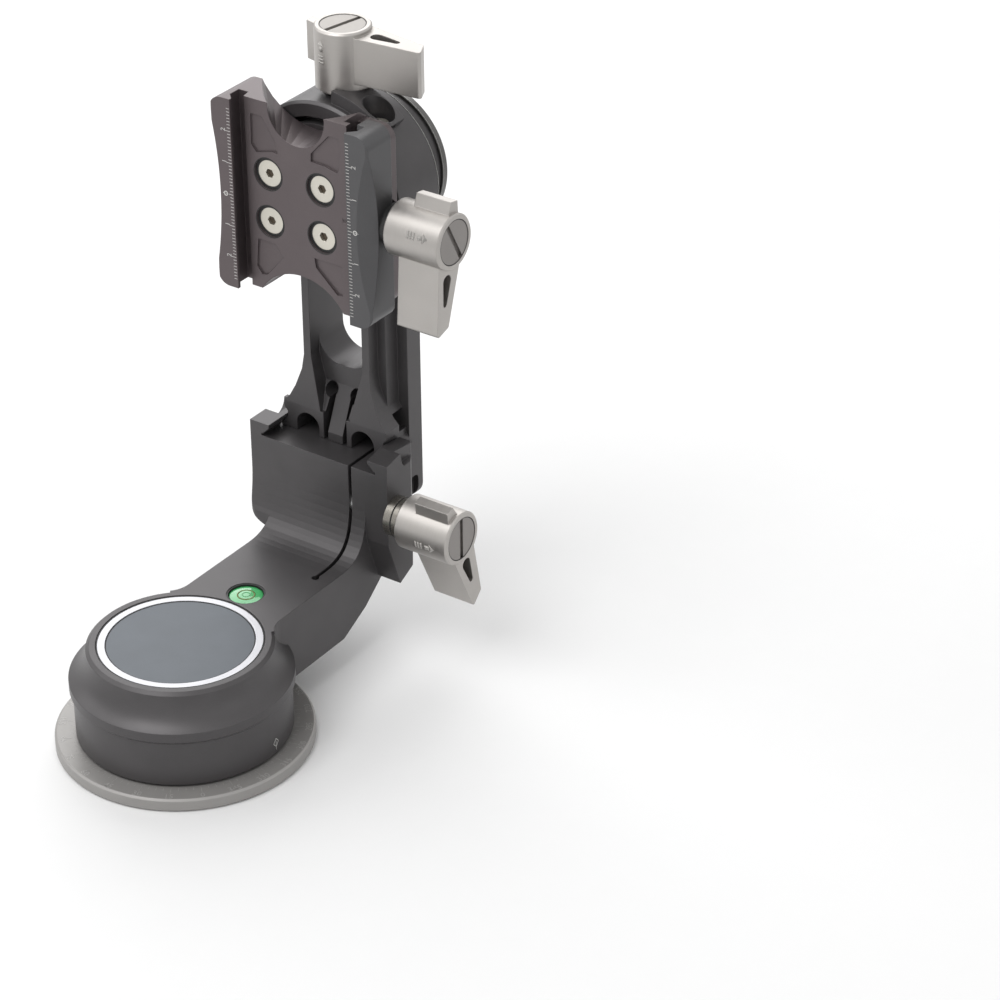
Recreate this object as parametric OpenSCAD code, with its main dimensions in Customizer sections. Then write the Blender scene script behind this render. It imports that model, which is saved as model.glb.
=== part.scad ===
// Gimbal tripod head: a pan base, a swing arm with a dovetail receiver, an upright that
// slides in the receiver, and a lens clamp that tilts on two ball bearings.
// The origin lies on the pan axis at the base disc's underside. +Z is up, and +Y runs along
// the swing arm, away from the lens clamp's open side.

/* [Base and pan drum] */
// Radius of the base disc
disc_r = 38.3; // [37:0.1:44]
// Thickness of the base disc
disc_t = 4.2; // [3.8:0.1:5]
// Radius of the drum's straight wall
drum_r = 32; // [30:0.1:32.4]
// Radius of the bulge above the wall
bulge_r = 33; // [32.6:0.1:34.5]
// Height of the bulge's lower edge
bulge_z = 20.2; // [19:0.1:21]
// Radius of the drum's rim
rim_r = 27.5; // [26.5:0.1:28.2]
// Height of the drum's and the arm's top face
top_z = 33.4; // [32.8:0.1:35]
// Thread radius for the tripod screw, 3/8 inch or 1/4 inch
thread_r = 4.7625; // [4.7625, 3.175]
// Depth of the tripod thread
thread_len = 13; // [10:0.5:13.5]

/* [Bearings] */
// Bore radius of the pan bearings
pan_bore_r = 12.5; // [11.5:0.1:13]
// Outer radius of the pan bearings
pan_race_r = 18.5; // [18:0.1:19.2]
// Width of a pan bearing
pan_race_w = 5.5; // [5:0.1:5.8]
// Bore radius of the tilt bearings
tilt_bore_r = 15; // [14.2:0.1:15.6]
// Outer radius of the tilt bearings
tilt_race_r = 21; // [20:0.1:21.4]
// Width of a tilt bearing
tilt_race_w = 5; // [4.5:0.1:5.2]

/* [Swing arm] */
// Half the width of the arm
arm_half = 17.3; // [16.5:0.1:18.5]
// Height of the arm's flat underside
arm_low_z = 10; // [8:0.1:12]
// Place where the riser's curve would meet the arm's top
riser_foot_y = 63.5; // [61:0.1:64.5]
// Place of the receiver's front face
riser_head_y = 67.5; // [66.5:0.1:68]
// Height where the riser turns upright
riser_head_z = 52; // [50:0.1:54]
// Place of the receiver's back face
block_back_y = 86; // [85:0.1:86.4]
// Width of the receiver left of the centre
block_half = 25.5; // [25:0.1:27]
// Width of the receiver right of the centre
jaw_end_x = 25.6; // [25:0.1:27]

/* [Dovetail] */
// Height of the dovetail channel's floor
floor_z = 63; // [62.6:0.1:63.4]
// Height of the receiver's jaws
jaw_top_z = 67.3; // [67:0.1:67.6]
// Half the gap between the jaws' tips
tip_half = 18.4; // [18:0.1:18.8]
// Width of the slit that lets the right jaw flex
slit_w = 1.2; // [0.8:0.1:1.6]
// Place of the slit across the arm
slit_x = 11.8; // [10.8:0.1:12.4]

/* [Upright] */
// Half the width of the back plate
plate_half = 19; // [18:0.1:20.5]
// Gap between the receiver and the back plate
plate_gap = 2; // [1.6:0.1:2]
// Thickness of the back plate
plate_t = 6.5; // [5.5:0.1:6.5]
// Half the width of the step in front of the plate
step_half = 15.3; // [14.8:0.1:16.5]
// Place of the step's front face
step_front_y = 82.4; // [81.8:0.1:82.8]
// Place of the ribs' front face
rib_front_y = 78.2; // [77.8:0.1:79]
// Inner side of a rib
rib_in_x = 9.6; // [9:0.1:10]
// Outer side of a rib
rib_out_x = 12.2; // [11.8:0.1:13]
// Place of the foot's front face
foot_front_y = 76.4; // [76.2:0.1:77]
// Height of the window's bottom
window_low_z = 86.5; // [85:0.1:92]

/* [Tilt head] */
// Height of the tilt axis
tilt_z = 148; // [146:0.5:170]
// Radius of the head drum
head_r = 27; // [26.2:0.1:27.6]
// Place of the head drum's front face
head_front_y = 74.5; // [74.4:0.1:75]
// Place of the head drum's back face
head_back_y = 95; // [94.9:0.1:96]
// Radius of the light disc at the back
tilt_disc_r = 22.65; // [21.5:0.05:25]
// Thickness of the light disc at the back
tilt_disc_t = 2.5; // [2:0.1:4]
// Radius of the raised pad beside the tilt lever
pad_r = 30.8; // [29.5:0.1:31.2]

/* [Lens clamp] */
// Height of the clamp's jaws
clamp_h = 60; // [56:0.5:64]
// Place of the jaws' open face
clamp_face_y = 57.2; // [56:0.1:58]
// Place of the clamp body's face between the jaws
clamp_floor_y = 61.5; // [60.8:0.1:62]
// Place of the clamp body's back face
clamp_back_y = 74; // [73.8:0.1:74.2]
// Outer side of the fixed jaw
fixed_out_x = 26.2; // [25.5:0.1:28]
// Tip of the fixed jaw
fixed_tip_x = 18.8; // [18:0.1:19.5]
// Tip of the movable jaw when it is open
moving_tip_x = 21.7; // [21.4:0.1:22.2]
// Outer side of the movable jaw when it is open
moving_out_x = 29.5; // [29:0.1:30]
// Sideways distance of a clamp screw from the centre
screw_x = 9.34; // [9:0.02:9.8]
// Upright distance of a clamp screw from the centre
screw_z = 7.5; // [7.2:0.1:8.2]

/* [Levers] */
// Radius of a lever's barrel
barrel_r = 8.4; // [8:0.1:8.6]
// Length of a lever's barrel
barrel_h = 19; // [18:0.1:22]
// Reach of a lever's wing
wing_reach = 28.5; // [25:0.1:31]
// Width of a lever's wing
wing_w = 14; // [12:0.1:15]
// Thickness of a wing at its end
wing_tip_t = 5.4; // [4:0.1:6.5]
// Angle of the receiver lever's wing, backwards from straight down
receiver_wing_angle = 20; // [0:1:30]
// Angle of the lens lever's wing, backwards from straight down
lens_wing_angle = -9; // [-30:1:0]

/* [Hidden] */
$fn = 72;

// Clearances and small edges that many pieces share
fit = 0.05;
gap = 0.3;
over = 1;
edge = 0.6;
small_edge = 0.3;
small_fn = 32;
hex_fn = 6;
ball_r = 1.8;
shoulder_share = 0.57;
pan_ball_count = 14;
tilt_ball_count = 16;

// Colours
anodised = "#3a3738";
anodised_plate = "#4a4347";
titanium = "#aaa59f";
nickel = "#cfc8ba";
steel = "#8d8f92";
bright = "#dcdcdf";
nylon = "#e8e6df";
cap_grey = "#6d747c";
cup_black = "#1b1c1c";
liquid_green = "#3fae63";
bronze = "#b08d4f";
neck_black = "#2b2a2b";

// Base: spindle, nut, bush and screws
flange_r = 27.5;
flange_t = 9.5;
flange_top_z = disc_t + flange_t;
shoulder_h = 0.6;
shoulder_step = 0.9;
shoulder_r = pan_bore_r + shoulder_step;
lower_race_z = flange_top_z + shoulder_h;
spacer_t = 2.2;
upper_race_z = lower_race_z + pan_race_w + spacer_t;
spacer_wall = 1.5;
nut_t = 2.4;
nut_wall = 3.8;
nut_slot_w = 3;
nut_slots = 4;
nut_z = upper_race_z + pan_race_w;
cap_seat_z = nut_z + nut_t + gap;
bush_wall = 2.7;
bush_r = thread_r + bush_wall;
disc_screw_ring_r = 15;
disc_screw_r = 2;
disc_screw_len = 11;
disc_screw_count = 4;
disc_screw_rim = 0.1;
drum_floor_z = disc_t + gap;
land_step = 1.5;
land_r = pan_race_r - land_step;

// Cap and level
cap_ring_out_r = 24.43;
cap_ring_in_r = 21.85;
cap_inset = 0.2;
cap_play = 0.15;
level_y = 30.75;
level_r = 5.8;
level_wall = 0.5;
level_h = 5;
level_floor_t = 1;

// Pan lock
lock_turn = 150;
knob_r = 6.3;
knob_h = 10;
knob_lift = 1;
knob_z = disc_t + knob_r + knob_lift;
knob_stand = 0.6;
knob_flutes = 10;
flute_r = 1.1;
lock_r = 2.5;
lock_pad_h = 2.5;
lock_screw_bite = 5;

// Drum and arm
rim_edge = 1;
neck_r = 10.5;
bulge_step = 1;
flare_r = 8;
flare_y = sqrt(pow(rim_r + flare_r, 2) - pow(arm_half + flare_r, 2));
belly_flat_y = 55;
belly_rise = 0.5;
belly_mid_y = 66.2;
belly_mid_z = 16.2;
belly_end_y = 81;
belly_end_z = 27.8;
block_corner_r = block_half - arm_half;
block_edge_r = 3;
block_side_y = 64.5;
riser_knee_z = 38;
riser_toe_y = 54;
riser_steps = 12;
riser_line = curve([riser_head_y, riser_head_z], [riser_head_y, riser_knee_z],
    [riser_foot_y, top_z], [riser_toe_y, top_z], riser_steps);
pocket_left_x = -12;
pocket_right_x = 6.5;
pocket_front_y = 38.5;
pocket_back_y = 64;
pocket_roof_t = 5;
pocket_corner_r = 4;

// Receiver
slit_end_y = 49.2;
slit_low_z = 22;
slit_right_x = slit_x + slit_w / 2;
tip_drop = 1.1;
tip_z = jaw_top_z - tip_drop;
flank_h = 2.3;
root_half = tip_half + flank_h;
root_relief = 0.6;
heel_z = 39.6;
toe_y = 73;
toe_z = 23.9;
brow_drop = 0.3;
peak_y = 74.3;
peak_rise = 1.1;
ledge_x = 23.3;
ledge_z = 63.4;
ledge_slope = 1;
jaw_turn_y = 79.5;
jaw_heel_x = 22.5;
jaw_heel_y = 84;
relief_low_z = 31;
hook_gap_y = 79.8;
hook_gap_r = 4.6;
back_pocket_left_x = -19;
back_pocket_right_x = 6;
back_pocket_low_z = 35;
back_pocket_top_z = 58;
back_pocket_depth = 11;

// Receiver lever
receiver_y = 71;
receiver_z = 49;
stud_r = 3;
washer_r = 6.2;
receiver_washer_t = 2.4;
receiver_collar_t = 3;
receiver_stud_in_x = -9;
receiver_lever_x = jaw_end_x + receiver_washer_t + receiver_collar_t + fit;

// Levers
barrel_edge = 0.5;
wing_low = 3.6;
wing_root_front_share = 0.62;
wing_root_back_share = 0.78;
wing_slope = 1.8;
wing_edge = 0.8;
fin_reach = 3.4;
fin_tip_half = 1.5;
fin_low = 6;
fin_top = 1.2;
hole_near = 3.6;
hole_near_r = 1.9;
hole_far = 10.5;
hole_far_r = 0.9;
cap_r = 6.7;
cap_t = 2.4;
cap_sink = 0.15;
cap_slot_w = 1.5;
cap_slot_depth = 0.9;
receiver_slot_turn = 0;
tilt_slot_turn = 78;
lens_slot_turn = 28;
stud_bite = 12;

// Upright: plate, foot, tongue and window
plate_front_y = block_back_y + plate_gap;
plate_back_y = plate_front_y + plate_t;
plate_low_z = 42;
plate_corner_r = 5;
foot_top_z = 72;
foot_half = 19;
foot_play = 0.4;
foot_root_half = root_half - foot_play;
foot_z = floor_z + small_edge / 2;
foot_foot_h = 1.1;
foot_flank_h = 2.4;
foot_neck_z = foot_z + foot_foot_h + foot_flank_h;
foot_neck_half = foot_root_half - foot_flank_h;
foot_shelf_z = jaw_top_z + peak_rise + gap;
foot_shelf_rise = 1;
shoulder_top_z = 89;
shoulder_in_x = 5.4;
flare_low_x = 17;
flare_low_z = 74.2;
flare_mid_x = 15;
flare_mid_z = 78;
flare_high_z = 84;
slope_top_z = 80;
slope_low_z = 70;
tongue_low_z = 66;
tongue_half = 2.7;
tongue_slit_w = 1.6;
tongue_hole_x = 4.5;
tongue_hole_z = 78;
tongue_hole_r = 2.2;
tongue_depth_y = 86;
arch_r = 4.2;
arch_x = 10.2;
arch_rise = 2.6;
arch_depth = 11;
window_corner_r = 8;
window_top_r = 3;
window_roof = 1.6;
side_pocket_in_x = 12.9;
side_pocket_front = 0.6;
side_pocket_top_z = 75;
side_slot_y = 88.8;
side_slot_w = 3.4;
side_slot_top_z = 51;
side_slot_depth = 2;

// Tilt head
head_edge = 0.8;
front_recess_r = 22.4;
front_race_y = 78;
rear_race_y = head_back_y - tilt_race_w;
tilt_land_step = 2.5;
tilt_land_r = tilt_race_r - tilt_land_step;
tilt_lever_y = 86.5;
neck_seat_r = 6.4;
neck_seat_drop = 0.5;
neck_h = 1.8;
neck_ring_r = 5.6;
shoe_r = 3.1;
shoe_h = 4.2;
pad_start = 5;
pad_sweep = 37;
pad_front_y = 76.7;
pad_flat_y = 87.2;
pad_back_y = 88.4;
pad_screw_x = 15.2;
pad_screw_y = 82.2;
pad_screw_low_z = 17.2;
pad_well_r = 4.6;
pad_well_floor_z = 20;
pad_screw_head_r = 2.7;
pad_screw_head_h = 2.2;
pad_screw_r = 1.6;

// Tilt hub and disc
hub_front_r = 20.5;
hub_hollow_r = 9;
hub_gap = 0.4;
hub_flange_y = front_race_y - hub_gap;
hub_shoulder_step = 1.2;
hub_shoulder_r = tilt_bore_r + hub_shoulder_step;
hub_room_r = 12.6;
hub_room_front_y = 80.2;
hub_room_back_y = 94.5;
collar_start = 0.3;
collar_y = head_back_y + collar_start;
tilt_disc_y = 102.5;
collar_r = 22;
collar_wall = 2;
collar_floor_t = 1.7;
hub_screw_ring_r = 12;
hub_screw_r = 1.5;
hub_screw_len = 8;
hub_screw_count = 3;
hub_socket_r = 0.9;
hub_socket_depth = 0.75;
disc_dish_r = 7.5;
disc_dish_depth = 1;

// Clamp body and jaws
lip_t = 1;
lip_flank = 2.2;
groove_y = 64.5;
groove_end_x = 17.6;
split_x = 17;
strip_x = 27;
strip_front_y = 70;
jaw_inner_x = 21.3;
jaw_back_y = 68.4;
jaw_corner_r = 4.2;
waist_depth = 2.6;
waist_chord = 50;
waist_r = (pow(waist_chord / 2, 2) + pow(waist_depth, 2)) / (2 * waist_depth);
facet_depth = 3.1;
facet_r = 110;
scallop_r = 17.5;
scallop_depth = 8;
scallop_x = 1.5;
trough_front_r = 9;
trough_front_x = 1.6;
trough_back_r = 23;
trough_back_x = -1;
trough_depth = 11.1;
shelf_x = 19.3;
shelf_y = 63.5;
strip_top_z = 175.5;
strip_low_z = 119.5;
recess_depth = 0.6;
recess_outlines = [
    [[-14.9, 25.2], [-15.1, 15.6], [-13.3, 13.5], [-7.7, 15], [-5.5, 14.7], [-6.4, 18.4],
        [-10.8, 25.2]],
    [[12.9, 25.2], [6.4, 18.1], [6.3, 15.6], [11.3, 15.3], [15.4, 14.4], [16.4, 16], [16.4, 25.2]],
    [[-14.1, -14.2], [-14.9, -23.2], [-13.1, -25.5], [-11.1, -25], [-4.9, -17.7], [-8, -14.2]],
    [[6.3, -14.8], [6.8, -17.8], [14.2, -24.6], [16.1, -24.3], [16.4, -14.8]]
];
stud_shift = 0.25;
stud_y = (clamp_floor_y + clamp_back_y) / 2 + stud_shift;
boss_r = 5.2;
lens_washer_t = 2.6;
lens_stud_in_x = -1.5;
lens_stud_room = 5.5;
lens_lever_x = moving_out_x + lens_washer_t;
clamp_screw_r = 2;
clamp_head_r = 4.05;
clamp_head_h = 2.3;
clamp_head_rim = 0.35;
clamp_screw_len = 15.5;
clamp_well_r = 4.9;
clamp_well_depth = 0.8;
hex_r = 1.45;
hex_depth = 2;
guide_z = 15;
guide_y = 66.3;
guide_r = 1.5;
guide_in_x = 4;
guide_out_x = 24.5;
guide_room = 4.3;
spring_room_r = 3.1;
spring_room_x = 9;
spring_mid_r = 2.45;
spring_wire_r = 0.35;
spring_curls = 6;
spring_steps = 8;
spring_sides = 6;

// A profile of (radius, height) turned about the tilt axis, where height is measured along Y
module about_tilt() {
    translate([0, 0, tilt_z])
        rotate([-90, 0, 0])
            rotate_extrude()
                children();
}

// An outline in Y and Z, drawn out along X
module side_prism(x0, x1) {
    translate([x0, 0, 0])
        rotate([90, 0, 90])
            linear_extrude(x1 - x0)
                children();
}

// An outline in X and Z, drawn out along Y
module front_prism(y0, y1) {
    translate([0, y1, 0])
        rotate([90, 0, 0])
            linear_extrude(y1 - y0)
                children();
}

// A round bar or hole along X
module bar_x(r, x0, x1) {
    translate([x0, 0, 0])
        rotate([0, 90, 0])
            cylinder(r = r, h = x1 - x0);
}

// A round bar or hole along Y
module bar_y(r, y0, y1) {
    translate([0, y0, 0])
        rotate([-90, 0, 0])
            cylinder(r = r, h = y1 - y0);
}

// A rectangle with four corner radii: low left, low right, high left, high right
module soft_rect(x0, x1, z0, z1, corners) {
    corner_list = [
        [x0, z0, 1, 1, corners[0]], [x1, z0, -1, 1, corners[1]],
        [x0, z1, 1, -1, corners[2]], [x1, z1, -1, -1, corners[3]]
    ];
    difference() {
        translate([x0, z0])
            square([x1 - x0, z1 - z0]);
        for (c = corner_list)
            if (c[4] > 0)
                translate([c[0], c[1]])
                    difference() {
                        translate([c[2] > 0 ? -over : -c[4], c[3] > 0 ? -over : -c[4]])
                            square(c[4] + over);
                        translate([c[2] * c[4], c[3] * c[4]])
                            circle(c[4]);
                    }
    }
}

// Ring with a ball groove; the groove lies on the side of the middle radius
module race(in_r, out_r, mid_r, w) {
    rotate_extrude()
        difference() {
            translate([in_r, 0])
                square([out_r - in_r, w]);
            translate([mid_r, w / 2])
                circle(ball_r + fit, $fn = small_fn);
        }
}

function mid_r(in_r, out_r) = (in_r + out_r) / 2;

// Points of a curve from a to d that leaves a towards b and comes to d from c
function curve(a, b, c, d, steps) = [
    for (i = [0 : steps]) let (t = i / steps, u = 1 - t)
        u * u * u * a + 3 * u * u * t * b + 3 * u * t * t * c + t * t * t * d
];

module inner_race(in_r, out_r, w) {
    race(in_r, mid_r(in_r, out_r) - shoulder_share * ball_r, mid_r(in_r, out_r), w);
}

module outer_race(in_r, out_r, w) {
    race(mid_r(in_r, out_r) + shoulder_share * ball_r, out_r, mid_r(in_r, out_r), w);
}

module ball_row(in_r, out_r, w, count) {
    for (i = [0 : count - 1])
        rotate([0, 0, 360 * i / count])
            translate([mid_r(in_r, out_r), 0, w / 2])
                sphere(ball_r, $fn = small_fn);
}

// Flat-head screw: its head's face lies at height zero and its shank hangs below
module flat_screw(head_r, head_h, rim, shank_r, len, socket_r, socket_depth) {
    difference() {
        union() {
            translate([0, 0, -rim])
                cylinder(r = head_r, h = rim);
            translate([0, 0, -head_h])
                cylinder(r1 = shank_r, r2 = head_r, h = head_h - rim);
            translate([0, 0, -len])
                cylinder(r = shank_r, h = len - head_h);
        }
        translate([0, 0, -socket_depth])
            cylinder(r = socket_r, h = socket_depth + over, $fn = hex_fn);
    }
}

// Seat of a flat-head screw, cut down from height zero
module flat_seat(head_r, head_h, rim, shank_r, len) {
    translate([0, 0, -rim])
        cylinder(r = head_r, h = rim + over);
    translate([0, 0, -head_h])
        cylinder(r1 = shank_r, r2 = head_r, h = head_h - rim);
    translate([0, 0, -len])
        cylinder(r = shank_r, h = len);
}

// Base

module at_disc_screws() {
    for (i = [0 : disc_screw_count - 1])
        rotate([0, 0, 45 + 360 * i / disc_screw_count])
            translate([disc_screw_ring_r, 0, 0])
                rotate([180, 0, 0])
                    children();
}

module base_disc() {
    color(titanium)
        difference() {
            rotate_extrude()
                polygon([
                    [bush_r, 0], [disc_r - edge, 0], [disc_r, edge],
                    [disc_r, disc_t - edge], [disc_r - edge, disc_t], [bush_r, disc_t]
                ]);
            at_disc_screws()
                flat_seat(2 * disc_screw_r, disc_screw_r, small_edge, disc_screw_r, disc_t + over);
        }
}

module thread_bush() {
    color(steel)
        difference() {
            cylinder(r = bush_r, h = thread_len);
            translate([0, 0, -over])
                cylinder(r = thread_r, h = thread_len + 2 * over);
        }
}

module pan_spindle() {
    color(steel)
        difference() {
            rotate_extrude()
                polygon([
                    [0, disc_t], [flange_r, disc_t], [flange_r, flange_top_z],
                    [shoulder_r, flange_top_z], [shoulder_r, lower_race_z],
                    [pan_bore_r, lower_race_z], [pan_bore_r, nut_z + nut_t], [0, nut_z + nut_t]
                ]);
            cylinder(r = bush_r, h = thread_len + gap);
            at_disc_screws()
                cylinder_down(disc_screw_r, disc_screw_len + gap);
        }
}

module cylinder_down(r, h) {
    translate([0, 0, -h])
        cylinder(r = r, h = h);
}

module disc_screws() {
    color(nickel)
        at_disc_screws()
            translate([0, 0, -small_edge])
                flat_screw(2 * disc_screw_r - small_edge, disc_screw_r - small_edge, disc_screw_rim,
                    disc_screw_r, disc_screw_len - small_edge, hex_r, hex_depth);
}

module pan_lower_inner_race() {
    color(steel)
        translate([0, 0, lower_race_z])
            inner_race(pan_bore_r, pan_race_r, pan_race_w);
}

module pan_lower_outer_race() {
    color(steel)
        translate([0, 0, lower_race_z])
            outer_race(pan_bore_r, pan_race_r, pan_race_w);
}

module pan_lower_balls() {
    color(bright)
        translate([0, 0, lower_race_z])
            ball_row(pan_bore_r, pan_race_r, pan_race_w, pan_ball_count);
}

module pan_upper_inner_race() {
    color(steel)
        translate([0, 0, upper_race_z])
            inner_race(pan_bore_r, pan_race_r, pan_race_w);
}

module pan_upper_outer_race() {
    color(steel)
        translate([0, 0, upper_race_z])
            outer_race(pan_bore_r, pan_race_r, pan_race_w);
}

module pan_upper_balls() {
    color(bright)
        translate([0, 0, upper_race_z])
            ball_row(pan_bore_r, pan_race_r, pan_race_w, pan_ball_count);
}

module race_spacer() {
    color(steel)
        translate([0, 0, lower_race_z + pan_race_w])
            difference() {
                cylinder(r = pan_bore_r + spacer_wall, h = spacer_t);
                translate([0, 0, -over])
                    cylinder(r = pan_bore_r, h = spacer_t + 2 * over);
            }
}

module spindle_nut() {
    color(steel)
        translate([0, 0, nut_z])
            difference() {
                cylinder(r = pan_bore_r + nut_wall, h = nut_t);
                translate([0, 0, -over])
                    cylinder(r = pan_bore_r, h = nut_t + 2 * over);
                for (i = [0 : nut_slots - 1])
                    rotate([0, 0, 360 * i / nut_slots])
                        translate([pan_bore_r + nut_wall / 2, -nut_slot_w / 2, nut_t / 2])
                            cube([nut_wall, nut_slot_w, nut_t]);
            }
}

// Swing arm: drum, arm and receiver

module drum_solid() {
    rotate_extrude()
        difference() {
            polygon([
                [0, drum_floor_z], [drum_r - edge, drum_floor_z], [drum_r, drum_floor_z + edge],
                [drum_r, bulge_z - bulge_step], [bulge_r, bulge_z],
                [bulge_r, top_z - rim_edge], [rim_r, top_z - rim_edge],
                [rim_r - rim_edge, top_z], [0, top_z]
            ]);
            translate([rim_r + neck_r, top_z - rim_edge])
                circle(neck_r);
        }
}

module arm_plan() {
    translate([-arm_half, 0])
        square([2 * arm_half, block_back_y]);
    difference() {
        polygon([[0, 0], [arm_half + flare_r, flare_y], [-arm_half - flare_r, flare_y]]);
        for (side = [-1, 1])
            translate([side * (arm_half + flare_r), flare_y])
                circle(flare_r);
    }
}

module arm_side() {
    polygon(concat([
        [0, top_z], [0, arm_low_z], [belly_flat_y, arm_low_z + belly_rise],
        [belly_mid_y, belly_mid_z], [belly_end_y, belly_end_z], [block_back_y, top_z],
        [block_back_y, riser_head_z]
    ], riser_line));
}

module arm_beam() {
    intersection() {
        linear_extrude(riser_head_z)
            arm_plan();
        side_prism(-block_half, block_half)
            arm_side();
    }
}

module receiver_block() {
    intersection() {
        front_prism(riser_toe_y - over, block_back_y)
            soft_rect(-block_half, arm_half, top_z, jaw_top_z, [block_corner_r, 0, 0, 0]);
        side_prism(-block_half, jaw_end_x)
            polygon(concat([
                [block_back_y, top_z], [block_back_y, jaw_top_z], [riser_head_y, jaw_top_z]
            ], riser_line));
        linear_extrude(2 * jaw_top_z) {
            soft_rect(-block_half, arm_half, block_side_y, block_back_y,
                [block_edge_r, 0, 0, 0]);
            translate([-arm_half, 0])
                square([2 * arm_half, block_back_y]);
        }
    }
}

// The right jaw: its back corner slants to the lip's end, and a ledge lowers its outer side
module right_jaw() {
    difference() {
        intersection() {
            side_prism(slit_right_x, jaw_end_x)
                polygon([
                    [riser_head_y, heel_z], [riser_head_y, jaw_top_z - brow_drop],
                    [peak_y, jaw_top_z + peak_rise], [jaw_heel_y, jaw_top_z],
                    [jaw_heel_y, relief_low_z], [belly_end_y, belly_end_z], [toe_y, toe_z]
                ]);
            linear_extrude(2 * jaw_top_z)
                polygon([
                    [slit_right_x, riser_head_y], [jaw_end_x, riser_head_y],
                    [jaw_end_x, jaw_turn_y], [jaw_heel_x, jaw_heel_y], [slit_right_x, jaw_heel_y]
                ]);
        }
        side_prism(ledge_x, jaw_end_x + over)
            polygon([
                [peak_y, jaw_top_z + peak_rise + over], [peak_y, jaw_top_z + peak_rise],
                [peak_y + ledge_slope, ledge_z + ledge_slope],
                [peak_y + ledge_slope + ledge_slope, ledge_z],
                [jaw_heel_y + over, ledge_z], [jaw_heel_y + over, jaw_top_z + peak_rise + over]
            ]);
    }
}

module dovetail_channel() {
    front_prism(riser_foot_y, block_back_y + over)
        polygon([
            [-tip_half, jaw_top_z + peak_rise + over], [-tip_half, tip_z],
            [-root_half, tip_z - flank_h], [-root_half - root_relief, tip_z - flank_h],
            [-root_half - root_relief, floor_z], [root_half + root_relief, floor_z],
            [root_half + root_relief, tip_z - flank_h], [root_half, tip_z - flank_h],
            [tip_half, tip_z], [tip_half, jaw_top_z + peak_rise + over]
        ]);
}

module slit() {
    translate([slit_x - slit_w / 2, slit_end_y, slit_low_z])
        cube([slit_w, block_back_y - slit_end_y + over, jaw_top_z]);
    translate([slit_x, slit_end_y, slit_low_z])
        cylinder(r = slit_w, h = jaw_top_z);
}

module arm_pockets() {
    translate([0, 0, arm_low_z - over])
        linear_extrude(top_z - arm_low_z - pocket_roof_t + over)
            soft_rect(pocket_left_x, pocket_right_x, pocket_front_y, pocket_back_y,
                [pocket_corner_r, pocket_corner_r, pocket_corner_r, pocket_corner_r]);
    front_prism(block_back_y - back_pocket_depth, block_back_y + over)
        soft_rect(back_pocket_left_x, back_pocket_right_x, back_pocket_low_z, back_pocket_top_z,
            [pocket_corner_r, pocket_corner_r, pocket_corner_r, pocket_corner_r]);
}

module pan_bores() {
    translate([0, 0, drum_floor_z - over])
        cylinder(r = flange_r + gap, h = lower_race_z - drum_floor_z + over);
    translate([0, 0, lower_race_z - over])
        cylinder(r = pan_race_r, h = pan_race_w + over);
    cylinder(r = land_r, h = top_z);
    translate([0, 0, upper_race_z])
        cylinder(r = pan_race_r, h = top_z);
    translate([0, 0, cap_seat_z])
        cylinder(r = cap_ring_out_r + cap_play, h = top_z);
}

// Places a piece on the pan lock's axis, which points out of the drum
module at_lock(r) {
    rotate([0, 0, lock_turn])
        translate([r, 0, knob_z])
            rotate([0, 90, 0])
                children();
}

module swing_arm() {
    color(anodised)
        difference() {
            union() {
                drum_solid();
                arm_beam();
                receiver_block();
                right_jaw();
            }
            pan_bores();
            translate([0, level_y, top_z - level_h])
                cylinder(r = level_r, h = level_h + over);
            dovetail_channel();
            slit();
            side_prism(-block_half - over, -root_half)
                translate([hook_gap_y, jaw_top_z])
                    circle(hook_gap_r);
            translate([0, receiver_y, receiver_z])
                bar_x(stud_r + fit, receiver_stud_in_x - over, jaw_end_x + over);
            arm_pockets();
            at_lock(flange_r)
                cylinder(r = lock_r + fit, h = drum_r);
        }
}

module cap_ring() {
    color(bright)
        translate([0, 0, cap_seat_z])
            difference() {
                cylinder(r = cap_ring_out_r, h = top_z - cap_inset - cap_seat_z);
                translate([0, 0, -over])
                    cylinder(r = cap_ring_in_r, h = top_z);
            }
}

module cap_disc() {
    color(cap_grey)
        translate([0, 0, cap_seat_z])
            cylinder(r = cap_ring_in_r - cap_play, h = top_z - 2 * cap_inset - cap_seat_z);
}

module level_cup() {
    color(cup_black)
        translate([0, level_y, top_z - level_h])
            difference() {
                cylinder(r = level_r, h = level_h - cap_inset);
                translate([0, 0, level_floor_t])
                    cylinder(r = level_r - level_wall, h = level_h);
            }
}

module level_vial() {
    color(liquid_green)
        translate([0, level_y, top_z - level_h + level_floor_t])
            cylinder(r = level_r - level_wall, h = level_h - level_floor_t - cap_inset);
}

module pan_lock_pad() {
    color(nylon)
        difference() {
            at_lock(flange_r - over)
                cylinder(r = lock_r, h = lock_pad_h + over);
            translate([0, 0, disc_t])
                cylinder(r = flange_r + fit, h = flange_t + over);
        }
}

module pan_lock_screw() {
    color(steel)
        at_lock(flange_r + lock_pad_h + fit)
            cylinder(r = lock_r,
                h = drum_r + knob_stand - flange_r - lock_pad_h - fit + lock_screw_bite);
}

module pan_knob() {
    color(titanium)
        at_lock(drum_r + knob_stand)
            difference() {
                union() {
                    cylinder(r1 = knob_r - edge, r2 = knob_r, h = edge);
                    translate([0, 0, edge])
                        cylinder(r = knob_r, h = knob_h - 2 * edge);
                    translate([0, 0, knob_h - edge])
                        cylinder(r1 = knob_r, r2 = knob_r - edge, h = edge);
                }
                translate([0, 0, -over])
                    cylinder(r = lock_r, h = lock_screw_bite + over);
                for (i = [0 : knob_flutes - 1])
                    rotate([0, 0, 360 * i / knob_flutes])
                        translate([knob_r + flute_r / 2, 0, -over])
                            cylinder(r = flute_r, h = knob_h + 2 * over, $fn = small_fn);
            }
}

// Levers: the axis is Z, the barrel stands on height zero and the wing points to +X

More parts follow.
